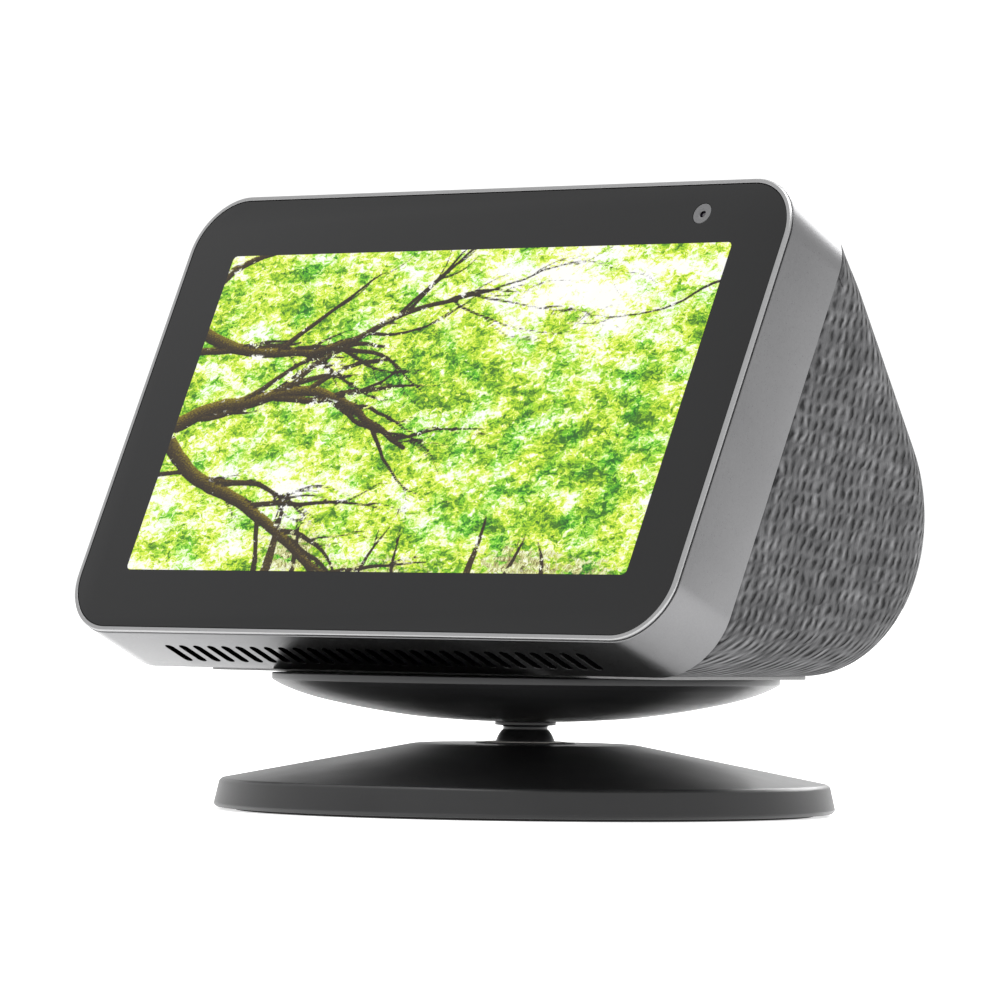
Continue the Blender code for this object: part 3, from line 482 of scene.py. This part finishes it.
def rounded_rect(width, height, radius, corner_steps, centre=(0.0, 0.0), side_steps=(1, 1)):
    """Points round a rectangle with rounded corners, counter-clockwise from its right side's top.
    side_steps splits the straight runs: across, then upright."""
    points = []
    for quadrant, (side_x, side_y) in enumerate(((1, 1), (-1, 1), (-1, -1), (1, -1))):
        corner_x = centre[0] + side_x * (width / 2 - radius)
        corner_y = centre[1] + side_y * (height / 2 - radius)
        for k in range(corner_steps + 1):
            angle = math.pi / 2 * (quadrant + k / corner_steps)
            points.append((corner_x + radius * math.cos(angle), corner_y + radius * math.sin(angle)))
        run = side_steps[quadrant % 2]
        start = np.array(points[-1])
        turn = math.pi / 2 * (quadrant + 1)
        length = (width, height)[quadrant % 2] - 2 * radius
        heading = np.array((math.cos(turn + math.pi / 2), math.sin(turn + math.pi / 2)))
        points += [tuple(start + heading * length * k / run) for k in range(1, run)]
    return points


def across_y(outline, depth):
    return [(a, depth, b) for a, b in outline]


def across_z(outline, height):
    return [(a, b, height) for a, b in outline]


def arc(centre, radius, first, last, steps):
    """Points of an arc in a section, angles in degrees."""
    angles = [math.radians(first + (last - first) * k / steps) for k in range(steps + 1)]
    return [(centre[0] + radius * math.cos(a), centre[1] + radius * math.sin(a)) for a in angles]


def bridge(bm, lower, upper):
    steps = max(len(lower), len(upper))
    for i in range(steps):
        j = (i + 1) % steps
        corners = (lower[i % len(lower)], lower[j % len(lower)], upper[j % len(upper)], upper[i % len(upper)])
        unique = list(dict.fromkeys(corners))
        if len(unique) > 2:
            bm.faces.new(unique)


def loft(bm, loops, closed=False):
    """Skins a run of loops. A loop of one point is a pole, and an open run gets flat ends."""
    rings = [[bm.verts.new(point) for point in loop] for loop in loops]
    for lower, upper in zip(rings, rings[1:]):
        bridge(bm, lower, upper)
    if closed:
        bridge(bm, rings[-1], rings[0])
        return
    for ring in (rings[0], rings[-1]):
        if len(ring) > 2:
            bm.faces.new(ring)


def circle(radius, height, steps, centre=(0.0, 0.0)):
    if radius == 0:
        return [(centre[0], centre[1], height)]
    angles = [2 * math.pi * i / steps for i in range(steps)]
    return [(centre[0] + radius * math.cos(a), centre[1] + radius * math.sin(a), height) for a in angles]


def turned(profile, steps, closed=False):
    """A solid turned about Z from (radius, height) points."""
    bm = bmesh.new()
    loft(bm, [circle(max(radius, 0), height, steps) for radius, height in profile], closed)
    return bm


def eased(profile, radius, closed=False, steps=4):
    """A profile with its corners rounded by at most radius, or by a point's own third value."""
    points = [np.array(point[:2], float) for point in profile]
    wanted = [point[2] if len(point) > 2 else radius for point in profile]
    count = len(points)
    result = []
    for i, point in enumerate(points):
        if not closed and i in (0, count - 1) or wanted[i] == 0:
            result.append(tuple(point))
            continue
        before, after = points[i - 1] - point, points[(i + 1) % count] - point
        reach = min(wanted[i], 0.45 * np.linalg.norm(before), 0.45 * np.linalg.norm(after))
        start = point + before / np.linalg.norm(before) * reach
        end = point + after / np.linalg.norm(after) * reach
        for k in range(steps + 1):
            t = k / steps
            result.append(tuple((1 - t) ** 2 * start + 2 * t * (1 - t) * point + t ** 2 * end))
    return result


def turn_to_y(bm):
    """Lays a shape turned about Z along +Y."""
    bmesh.ops.rotate(bm, verts=bm.verts, cent=(0, 0, 0), matrix=Matrix.Rotation(-math.pi / 2, 3, "X"))


def add_object(name, data):
    item = bpy.data.objects.new(name, data)
    bpy.context.scene.collection.objects.link(item)
    return item


def to_object(name, bm, place, sharp=35.0):
    bmesh.ops.recalc_face_normals(bm, faces=bm.faces)
    bmesh.ops.transform(bm, matrix=place, verts=bm.verts)
    mesh = bpy.data.meshes.new(name)
    bm.to_mesh(mesh)
    bm.free()
    mesh.shade_smooth()
    mesh.set_sharp_from_angle(angle=math.radians(sharp))
    return add_object(name, mesh)


def cut(item, cutter_bmesh, place, sharp=35.0):
    """Cuts the item by a helper shape, for good."""
    helper = to_object("cutter", cutter_bmesh, place)
    modifier = item.modifiers.new("cut", "BOOLEAN")
    modifier.operation = "DIFFERENCE"
    modifier.object = helper
    evaluated = item.evaluated_get(bpy.context.evaluated_depsgraph_get())
    mesh = bpy.data.meshes.new_from_object(evaluated)
    item.modifiers.clear()
    old = item.data
    item.data = mesh
    mesh.name = item.name
    bpy.data.meshes.remove(old)
    bpy.data.objects.remove(helper)
    mesh.shade_smooth()
    mesh.set_sharp_from_angle(angle=math.radians(sharp))


def fit_out(item, body, slot, *nodes, material=None):
    """Gives a piece its finish, its body and the CAD nodes that it stands for."""
    item.data.materials.clear()
    item.data.materials.append(material or SLOTS[slot])
    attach(item, body)
    if nodes:
        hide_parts(*nodes)
    return item


# --- display ---

def frame_outline(inset, corner_steps=20):
    return rounded_rect(FRAME_WIDTH - 2 * inset, FRAME_HEIGHT - 2 * inset, FRAME_RADIUS - inset, corner_steps,
                        (0.0, FRAME_RISE), (12, 8))


def pill(width, depth, centre, corner_steps):
    """A rectangle with round ends, which keep a short flat between them."""
    flat = 0.02
    return rounded_rect(width, depth, min(width, depth) / 2 - flat, corner_steps, centre)


def pill_hole(cutters, width, length, centre, surface, direction, chamfer=0.16, corner_steps=8):
    """A round-ended hole through a wall, wider at its mouth. The direction points into the wall."""
    outside, beyond = -0.6, 3.0
    loft(cutters, [across_z(pill(width + 2 * grow, length + 2 * grow, centre, corner_steps),
                            surface + direction * depth)
                   for depth, grow in ((outside, chamfer), (0.0, chamfer), (chamfer, 0.0), (beyond, 0.0))])


def build_frame():
    """Lip, shadow groove, side band and the ledge behind the glass, as one ring."""
    groove, ledge_inset, ledge_front, ledge_back = 0.32, 3.0, 1.7, 3.2
    section = [(LIP_WIDTH, 0.0, 0.06), (0.26, 0.0, 0.16), (0.1, 0.2, 0.06), (0.1, 0.48, 0.05),
               (groove, 0.52, 0.0), (groove, 0.84, 0.0), (0.02, 0.9, 0.08), (0.0, 1.1, 0.0),
               (0.0, FRAME_DEPTH, 0.3), (FRAME_WALL, FRAME_DEPTH, 0.05), (FRAME_WALL, ledge_back, 0.0),
               (ledge_inset, ledge_back, 0.0), (ledge_inset, ledge_front, 0.0), (LIP_WIDTH, ledge_front, 0.0)]
    bm = bmesh.new()
    loft(bm, [across_y(frame_outline(inset), depth) for inset, depth in eased(section, 0.1, True, 3)], True)
    frame_piece = to_object("frame_band", bm, FACE, 28)
    cutters = bmesh.new()
    middle, length = sum(SLOT_DEPTHS) / 2, SLOT_DEPTHS[1] - SLOT_DEPTHS[0]
    for i in range(SLOT_COUNT):
        x = (i - (SLOT_COUNT - 1) / 2) * SLOT_PITCH
        pill_hole(cutters, SLOT_WIDTH, length, (x, middle), FRAME_BOTTOM, 1, 0.05, 6)
    button_width, button_length = (side + BUTTON_HOLE_GROWTH for side in BUTTON_SIZE)
    for x in BUTTONS.values():
        pill_hole(cutters, button_width, button_length, (x, BUTTON_DEPTH), FRAME_TOP, -1)
    pill_hole(cutters, SHUTTER_TRACK[0] + SHUTTER_TRAVEL, SHUTTER_TRACK[1],
              (SHUTTER_X + SHUTTER_TRAVEL / 2, SHUTTER_DEPTH), FRAME_TOP, -1)
    for x in MIC_HOLES:
        pill_hole(cutters, MIC_HOLE_WIDTH, MIC_HOLE_WIDTH, (x, BUTTON_DEPTH), FRAME_TOP, -1)
    cut(frame_piece, cutters, FACE, 28)
    fit_out(frame_piece, "display", "frame_band", "front_frame")


def build_glass():
    levels = ((0.3, GLASS_FRONT), (0.1, GLASS_FRONT + 0.03), (0.02, GLASS_FRONT + 0.12),
              (0.0, GLASS_FRONT + 0.25), (0.0, GLASS_BACK))
    bm = bmesh.new()
    loft(bm, [across_y(frame_outline(GLASS_INSET + inset, 24), depth) for inset, depth in levels])
    glass = to_object("glass_front", bm, FACE, 20)
    hole = bmesh.new()
    loft(hole, [[(x, depth, z) for x, z, depth in circle(GLASS_HOLE_RADIUS, level, 48, (CAMERA_X, CAMERA_Z))]
                for level in (-1.0, 3.0)])
    cut(glass, hole, FACE, 20)
    fit_out(glass, "display", "cover_glass", "cover_glass")


def build_camera():
    trim = eased([(0.62, 0.36), (0.74, 0.2), (1.0, 0.11), (1.95, 0.07), (2.0, 0.16), (2.0, 1.2),
                  (0.95, 1.2), (0.95, 0.44)], 0.05, True)
    bm = turned(trim, 64, True)
    turn_to_y(bm)
    ring = to_object("camera_trim", bm, FACE @ Matrix.Translation((CAMERA_X, 0.0, CAMERA_Z)))
    fit_out(ring, "display", "camera_ring", "camera_ring")
    dome = [(0.0, 0.5)] + [(0.45 * k / 6, 0.5 + 0.12 * (k / 6) ** 2) for k in range(1, 7)]
    dome += [(0.9, 0.62), (0.9, 1.2), (0.0, 1.2)]
    bm = turned(dome, 48)
    turn_to_y(bm)
    lens = to_object("lens_dome", bm, FACE @ Matrix.Translation((CAMERA_X, 0.0, CAMERA_Z)))
    fit_out(lens, "display", "lens_glass", "camera_lens")


def build_keys():
    width, depth = BUTTON_SIZE
    radius, flange, flange_top, flange_bottom = 1.78, -0.9, -2.0, -2.6
    profile = [(1.3, 0.36), (0.7, 0.44), (0.32, 0.5), (0.1, 0.44), (0.0, 0.28), (0.0, flange_top),
               (flange, flange_top), (flange, flange_bottom)]
    for name, x in BUTTONS.items():
        bm = bmesh.new()
        loft(bm, [across_z(rounded_rect(width - 2 * inset, depth - 2 * inset, radius - inset, 10,
                                        (x, BUTTON_DEPTH)), FRAME_TOP + level) for inset, level in profile])
        cap = to_object(name + "_cap", bm, FACE, 40)
        fit_out(cap, name.replace("button", "key"), "button_plastic", name)


def build_shutter():
    """A thumb slider with grip ribs. Its arm and blade are the CAD node's own."""
    bm = bmesh.new()
    centre = (SHUTTER_X, SHUTTER_DEPTH)
    profile = [(0.7, 0.78), (0.25, 0.9), (0.02, 0.78), (0.0, 0.55), (0.1, 0.25), (0.4, 0.2)]
    width, length = SHUTTER_THUMB
    loft(bm, [across_z(pill(width - 2 * inset, length - 2 * inset, centre, 10), FRAME_TOP + level)
              for inset, level in profile])
    ribs, pitch, half_width, half_length = 5, 0.85, 0.16, 1.0
    for k in range(ribs):
        x = centre[0] + (k - ribs // 2) * pitch
        rib = [(x + side_x * half_width, centre[1] + side_y * half_length)
               for side_x, side_y in ((-1, -1), (1, -1), (1, 1), (-1, 1))]
        loft(bm, [across_z(rib, FRAME_TOP + 0.8), across_z(rib, FRAME_TOP + 0.98)])
    thumb = to_object("shutter_thumb", bm, FACE)
    fit_out(thumb, "shutter", "button_plastic")


def belly_in_face():
    """The belly circle's centre as depth behind the face and rise up the face."""
    y = BELLY_CENTRE[0] - SCREEN_CENTRE[1]
    z = BELLY_CENTRE[1] - SCREEN_CENTRE[2]
    return np.array((y * math.cos(FACE_LEAN) - z * math.sin(FACE_LEAN),
                     y * math.sin(FACE_LEAN) + z * math.cos(FACE_LEAN)))


def body_profile(straight_steps, belly_steps):
    """Stations down the back body's side view.

    Each is a depth, a rise, the normal's angle, the distance from the frame and the run so far."""
    centre_depth, centre_rise = belly_in_face()
    run, drop = centre_depth - BODY_FRONT, centre_rise - BODY_TOP
    slope = math.atan2(drop, run) + math.asin(BELLY_RADIUS / math.hypot(run, drop))
    top_angle, bottom_angle = math.pi / 2 + slope, FACE_LEAN - math.pi / 2

    def straight(angle, heading):
        depth = centre_depth + BELLY_RADIUS * math.cos(angle)
        rise = centre_rise + BELLY_RADIUS * math.sin(angle)
        length = (depth - BODY_FRONT) / math.cos(heading)
        distances = [0.0, 0.12, 0.3, 0.6] + [length * k / straight_steps for k in range(1, straight_steps)]
        return length, [(BODY_FRONT + distance * math.cos(heading),
                         rise - (length - distance) * math.sin(heading), angle, distance)
                        for distance in distances]

    top_length, top = straight(top_angle, slope)
    bottom_length, bottom = straight(bottom_angle, FACE_LEAN)
    stations = [(*station, station[3]) for station in top]
    for k in range(belly_steps + 1):
        share = k / belly_steps
        angle = top_angle + (bottom_angle - top_angle) * share
        stations.append((centre_depth + BELLY_RADIUS * math.cos(angle),
                         centre_rise + BELLY_RADIUS * math.sin(angle), angle, EDGE_BLEND,
                         top_length + BELLY_RADIUS * (top_angle - bottom_angle) * share))
    belly_end = stations[-1][4]
    stations += [(*station, belly_end + bottom_length - station[3]) for station in reversed(bottom)]
    return stations


def build_fabric():
    """The cloth, pulled tight over the rear shell, with its edge turned in behind the frame."""
    edge_steps, hem_depth, hem_length = 16, 0.5, 0.6
    stations = body_profile(straight_steps=26, belly_steps=44)
    loops = []
    for k in range(edge_steps + 1):
        turn = math.pi / 2 * (1 - k / edge_steps)
        loop = []
        for depth, rise, angle, distance, run in stations:
            share = min(distance / EDGE_BLEND, 1.0)
            share = share * share * (3 - 2 * share)
            radius = BODY_CORNER + (EDGE_RADIUS - BODY_CORNER) * share
            tuck = hem_depth * max(0.0, 1 - distance / hem_length) ** 2
            drawn_in = radius * (1 - math.cos(turn)) + tuck * math.cos(turn)
            upright = math.copysign(1.0 - share, math.sin(angle))
            loop.append((BODY_HALF_WIDTH - radius * (1 - math.sin(turn)) - tuck * math.sin(turn),
                         depth - drawn_in * math.cos(angle) * share,
                         rise - drawn_in * (math.sin(angle) * share + upright)))
        loops.append(loop)
    loops += [[(-x, depth, rise) for x, depth, rise in loop] for loop in reversed(loops)]
    bm = bmesh.new()
    runs = bm.verts.layers.float.new("run")
    rings = []
    for loop in loops:
        rings.append([bm.verts.new(point) for point in loop])
        for vert, station in zip(rings[-1], stations):
            vert[runs] = station[4]
    for left, right in zip(rings, rings[1:]):
        for i in range(len(left) - 1):
            bm.faces.new((left[i], left[i + 1], right[i + 1], right[i]))
    for ring in (rings[0], rings[-1]):
        bm.faces.new(ring)
    skin = to_object("fabric_skin", bm, FACE, 50)
    modifier = skin.modifiers.new("thickness", "SOLIDIFY")
    modifier.thickness = FABRIC_THICKNESS * MM
    modifier.offset = -1.0
    pocket = bmesh.new()
    outline = rounded_rect(PORT_PANEL[0] + 0.5, PORT_PANEL[1] + 0.5, 3.75, 8)
    loft(pocket, [across_y(outline, PORT_FACE - 5.0), across_y(outline, PORT_FACE + 6.0)])
    cut(skin, pocket, PORTS, 50)
    fit_out(skin, "display", "fabric", "fabric_cover")


def build_ports():
    (width, height), radius = PORT_PANEL, 3.5
    bm = bmesh.new()
    loft(bm, [across_y(rounded_rect(width - 2 * inset, height - 2 * inset, radius - inset, 10),
                       PORT_FACE - depth)
              for inset, depth in ((0.35, 0.02), (0.1, 0.05), (0.0, 0.3), (0.0, 1.8))])
    panel = to_object("port_plate", bm, PORTS, 30)
    holes = bmesh.new()
    for x in (-PORT_SPACING, PORT_SPACING):
        loft(holes, [[(px, PORT_FACE + level, pz)
                      for px, pz, _ in circle(PORT_HOLE_RADIUS + grow, 0, 40, (x, 0.0))]
                     for level, grow in ((0.7, 0.3), (-0.05, 0.3), (-0.4, 0.0), (-5.0, 0.0))])
    width, height = SERVICE_HOLE
    loft(holes, [across_y(rounded_rect(width + 2 * grow, height + 2 * grow, 1.2, 6), PORT_FACE + level)
                 for level, grow in ((0.7, 0.25), (-0.05, 0.25), (-0.35, 0.0), (-5.0, 0.0))])
    cut(panel, holes, PORTS, 30)
    fit_out(panel, "display", "dark_plastic", "port_panel")


def limbs(rng):
    """Limbs and twigs of the pictured wood: (points, widths) in millimetres from the picture's centre."""
    stride, jitter, taper, thinnest, last_level = 2.2, 0.1, 0.78, 0.06, 3
    found = []

    def grow(start, heading, length, width, level, bend):
        steps = max(5, int(length / stride))
        points, widths = [np.array(start, float)], [width]
        turn = heading
        for k in range(steps):
            turn += bend / steps + rng.normal(0, jitter)
            points.append(points[-1] + np.array((math.cos(turn), math.sin(turn))) * length / steps)
            widths.append(width * (1 - taper * (k + 1) / steps) + thinnest)
            if level < last_level and k > 1 and rng.random() < (0.3 if level == 0 else 0.26):
                side = rng.choice((-1, 1))
                grow(points[-1], turn + side * rng.uniform(0.3, 0.7), length * rng.uniform(0.25, 0.5),
                     widths[-1] * rng.uniform(0.5, 0.75), level + 1, -side * rng.uniform(0.4, 1.0))
        found.append((np.array(points), np.array(widths)))

    left, low, right = -IMAGE_WIDTH / 2 - 2, -IMAGE_HEIGHT / 2 - 1, IMAGE_WIDTH / 2 + 1
    boughs = ((-3.5, 0.3, 66.0, 3.6, -0.5), (-5.5, -0.42, 84.0, 3.2, 0.62), (17.0, -0.3, 74.0, 2.6, 0.22),
              (12.5, 0.05, 40.0, 1.6, -0.3), (26.0, 0.7, 17.0, 2.4, -0.2), (-13.0, 0.1, 34.0, 1.0, -0.5))
    for rise, heading, length, width, bend in boughs:
        grow((left, rise), heading, length, width, 0, bend)
    saplings = ((-26.0, 1.35, 14.0, 2.6), (-19.0, 1.75, 11.0, 1.4), (-3.0, 1.2, 11.0, 1.0),
                (6.0, 1.9, 10.0, 0.9), (24.0, 1.55, 12.0, 1.8), (33.0, 1.3, 9.0, 1.2), (42.0, 1.8, 8.0, 1.2))
    for x, heading, length, width in saplings:
        grow((x, low), heading, length, width, 1, 0.1)
    grow((right, 25.0), 3.35, 34.0, 0.55, 2, -0.3)
    return found


def build_picture():
    """The lit image: a fine flat sheet on the glass that carries the picture's layout."""
    step, above_glass, limb_reach, no_limb = 0.4, 0.035, 4, 50.0
    columns, rows = int(IMAGE_WIDTH / step) + 1, int(IMAGE_HEIGHT / step) + 1
    xs = np.linspace(-IMAGE_WIDTH / 2, IMAGE_WIDTH / 2, columns)
    zs = np.linspace(-IMAGE_HEIGHT / 2, IMAGE_HEIGHT / 2, rows)
    grid_x, grid_z = np.meshgrid(xs, zs)
    corner_x = np.maximum(np.abs(grid_x) - (IMAGE_WIDTH / 2 - IMAGE_RADIUS), 0)
    corner_z = np.maximum(np.abs(grid_z) - (IMAGE_HEIGHT / 2 - IMAGE_RADIUS), 0)
    reach = np.maximum(np.hypot(corner_x, corner_z), 1e-9)
    pull = np.minimum(1.0, IMAGE_RADIUS / reach)
    held_x = np.sign(grid_x) * (np.abs(grid_x) - corner_x * (1 - pull))
    held_z = np.sign(grid_z) * (np.abs(grid_z) - corner_z * (1 - pull))
    depth = np.full(grid_x.size, GLASS_FRONT - above_glass)
    local = np.stack((held_x.ravel(), depth, held_z.ravel()), 1)

    mesh = bpy.data.meshes.new("picture_sheet")
    index = np.arange(rows * columns).reshape(rows, columns)
    faces = np.stack((index[:-1, :-1], index[:-1, 1:], index[1:, 1:], index[1:, :-1]), -1).reshape(-1, 4)
    matrix = np.array(FACE)
    world = local @ matrix[:3, :3].T + matrix[:3, 3]
    mesh.from_pydata(world.tolist(), [], faces.tolist())
    mesh.update()
    layer = mesh.uv_layers.new(name="picture")
    corners = np.empty(len(mesh.loops), np.int32)
    mesh.loops.foreach_get("vertex_index", corners)
    layer.data.foreach_set("uv", local[corners][:, [0, 2]].astype(np.float32).ravel())

    x, z = held_x.ravel(), held_z.ravel()
    limb = np.full(x.size, no_limb)
    moss = np.zeros(x.size)
    for points, widths in limbs(np.random.default_rng(PICTURE_SEED)):
        for start, end, wide, thin in zip(points, points[1:], widths, widths[1:]):
            low, high = np.minimum(start, end) - limb_reach, np.maximum(start, end) + limb_reach
            near = (x > low[0]) & (x < high[0]) & (z > low[1]) & (z < high[1])
            if not near.any():
                continue
            span = end - start
            offset = np.stack((x[near], z[near]), 1) - start
            t = np.clip(offset @ span / (span @ span), 0, 1)
            gap = offset - t[:, None] * span
            width = wide + (thin - wide) * t
            distance = np.hypot(gap[:, 0], gap[:, 1]) - width / 2
            closer = distance < limb[near]
            places = np.flatnonzero(near)[closer]
            limb[places] = distance[closer]
            bulk = min(1.0, wide / 2.0)
            moss[places] = 0.25 + 0.55 * bulk * (0.5 + gap[closer, 1] / np.maximum(width[closer], 0.3))

    def blobs(*spots):
        """A sum of soft patches, each with a centre, a size and a power."""
        return sum(power * np.exp(-(((x - centre[0]) / size[0]) ** 2 + ((z - centre[1]) / size[1]) ** 2))
                   for centre, size, power in spots)

    sky = blobs(((24, 25), (20, 9), 0.42), ((42, 14), (13, 9), 0.2), ((-14, 27), (14, 6), 0.12),
                ((54, 27), (14, 6), 0.14), ((-48, 10), (10, 5), 0.16), ((-48, -22), (20, 9), 0.16),
                ((8, -15), (18, 4), 0.14), ((-22, -15), (10, 5), 0.25))
    shade = blobs(((-6, 4), (18, 8), 0.12), ((34, -10), (24, 12), 0.14), ((52, 2), (12, 14), 0.1),
                  ((-34, 18), (18, 8), 0.06), ((2, 14), (20, 6), 0.05))
    ground = blobs(((-22, -28), (9, 6), 0.55), ((2, -32), (16, 4), 0.4), ((36, -31), (13, 5), 0.55),
                   ((55, -32), (9, 3), 0.35))
    for name, values in zip(PICTURE_LAYERS, (limb, sky, shade, ground, moss)):
        data = mesh.attributes.new(name, "FLOAT", "POINT").data
        data.foreach_set("value", values.astype(np.float32))
    fit_out(add_object("picture_sheet", mesh), "display", "cover_glass", material=picture())


# --- stand ---

def build_tray():
    under = [(1.8, 16.65, 0), (9.0, 16.65, 3), (20.0, 17.35, 4), (30.0, 18.85, 4), (38.0, 20.55, 3),
             (42.0, 21.75, 2), (45.0, 23.0, 1), (TRAY_RADIUS, 23.9, 0.15), (TRAY_RADIUS, TRAY_TOP, 0.2),
             (45.0, TRAY_TOP, 0.08), (45.0, 24.2, 0), (41.0, 23.3, 1), (36.0, 22.0, 2), (28.0, 20.4, 2),
             (18.0, 18.9, 2), (9.0, 18.35, 2), (1.8, 18.35, 0)]
    bowl = to_object("tray_shell", turned(eased(under, 0.2, True), 160, True), STAND)
    fit_out(bowl, "display", "stand_black", "tray_bowl")
    lid_bottom = TRAY_TOP - LID_THICKNESS
    lid = eased([(0.0, TRAY_TOP), (LID_RADIUS, TRAY_TOP, 0.15), (LID_RADIUS, lid_bottom),
                 (0.0, lid_bottom)], 0.1)
    fit_out(to_object("tray_top", turned(lid, 160), STAND), "display", "stand_black", "tray_lid")
    bm = bmesh.new()
    foot_levels = ((0.25, 25.2), (0.05, 25.25), (0.0, 25.35), (0.0, 25.8), (0.1, 25.9))
    loft(bm, [across_z(rounded_rect(FOOT_WIDTH - 2 * inset, FOOT_DEPTH - 2 * inset, FOOT_RADIUS - inset, 12,
                                    (0.0, FOOT_CENTRE_Y), (10, 4)), level) for inset, level in foot_levels])
    fit_out(to_object("foot_plate", bm, STAND), "display", "foot_pad", "foot_pad")


def build_ball():
    low = BALL_Z - BALL_RADIUS
    first, last = -90.0, math.degrees(math.asin((BALL_TOP - BALL_Z) / BALL_RADIUS))
    side = arc((0.0, BALL_Z), BALL_RADIUS, first, last, 24)[1:]
    profile = [(0.0, low)] + side
    profile += eased([side[-1], (STEM_RADIUS, BALL_TOP + 0.05), (STEM_RADIUS, 15.85, 0.25), (5.6, 15.98),
                      (5.6, 16.6), (1.7, 16.6, 0), (1.7, 10.0, 0), (0.0, 10.0, 0)], 0.1)[1:]
    ball = to_object("ball_and_neck", turned(profile, 96), STAND)
    fit_out(ball, "ball", "stand_black", "ball_stem")
    collar = eased([(7.7, 9.9), (7.7, 12.85, 0.25), (9.15, 12.85, 0.2), (9.15, 10.3), (13.2, 10.3),
                    (13.2, 9.1), (8.9, 9.1), (8.9, 9.9)], 0.08, True)
    ring = to_object("collar_ring", turned(collar, 96, True), STAND)
    fit_out(ring, "base", "dark_plastic", "retaining_collar")


def build_base():
    profile = [(9.4, 12.6, 0.15), (20.0, 12.6, 1.2), (55.35, 5.78, 0.25), (55.9, 5.35, 0.35),
               (BASE_RADIUS, 1.05, 0.3), (56.3, 0.5, 0.15), (54.7, 0.5, 0.1), (54.0, 3.9, 0.3),
               (20.0, 10.6, 0.4), (9.4, 10.6, 0.1)]
    shell = to_object("base_body", turned(eased(profile, 0.1, True, 6), 192, True), STAND)
    fit_out(shell, "base", "stand_black", "base_shell")
    inner, outer, top, groove_pitch, groove_depth = 49.5, 52.9, 1.0, 0.42, 0.12
    grip = [(inner, top), (inner, 0.0)]
    grip += [(inner + groove_pitch * k, 0.0 if k % 2 else groove_depth) for k in range(1, 8)]
    grip += [(outer, 0.0), (outer, top)]
    fit_out(to_object("grip_ring", turned(grip, 160, True), STAND), "base", "rubber", "rubber_ring")


# --- the rest ---

def dress_cad_nodes():
    """Every CAD node that stays on show takes the material of its slot."""
    slots = {part["node"]: part["material_slot"] for part in frame["record"]["subparts"]}
    for name, node in frame["nodes"].items():
        node.data.materials.clear()
        node.data.materials.append(SLOTS[slots[name]])


def build_stage():
    world = bpy.data.worlds.new("studio")
    bpy.context.scene.world = world
    world.use_nodes = True
    background = world.node_tree.nodes["Background"]
    background.inputs["Color"].default_value = WHITE
    background.inputs["Strength"].default_value = WORLD_STRENGTH
    bm = bmesh.new()
    bmesh.ops.create_grid(bm, x_segments=1, y_segments=1, size=FLOOR_HALF_SIZE)
    floor = to_object("floor", bm, Matrix.Identity(4))
    finish = Finish("floor_paper", Roughness=0.9, Specular_IOR_Level=0.1, Emission_Strength=FLOOR_GLOW,
                    Emission_Color=WHITE)
    tone = finish.noise(finish.position(), 3.0, 3.0)
    finish.plug("Base Color", finish.mix(tone, (0.86, 0.86, 0.86), (0.88, 0.88, 0.88)))
    floor.data.materials.append(finish.material)
    for name, place, width, height, power in SOFTBOXES:
        light = bpy.data.lights.new(name, "AREA")
        light.shape = "RECTANGLE"
        light.size, light.size_y = width, height
        light.energy = power
        lamp = add_object(name, light)
        lamp.location = place
        aim = Vector(AIM_POINT) - Vector(place)
        lamp.rotation_euler = aim.to_track_quat("-Z", "Y").to_euler()


def build_camera_view():
    """A long lens from the front right, a little below the screen's middle."""
    yaw, pitch, roll = (math.radians(angle) for angle in CAMERA_TURNS)
    turn = Matrix.Rotation(yaw, 3, "Z") @ Matrix.Rotation(pitch, 3, "X") @ Matrix.Rotation(roll, 3, "Y")
    right, forward, up = (turn.col[i] for i in range(3))
    pose = Matrix((right, up, -forward)).transposed().to_4x4()
    pose.translation = CAMERA_PLACE
    camera = bpy.data.cameras.new("camera")
    camera.sensor_width = CAMERA_SENSOR
    camera.lens = CAMERA_LENS
    camera.clip_end = 60.0
    item = add_object("camera", camera)
    item.matrix_world = pose
    bpy.context.scene.camera = item
    bpy.context.scene.view_settings.view_transform = "Standard"


SLOTS = make_slots()
build_camera_view()
build_stage()
dress_cad_nodes()
build_frame()
build_glass()
build_camera()
build_keys()
build_shutter()
build_fabric()
build_ports()
build_picture()
build_tray()
build_ball()
build_base()
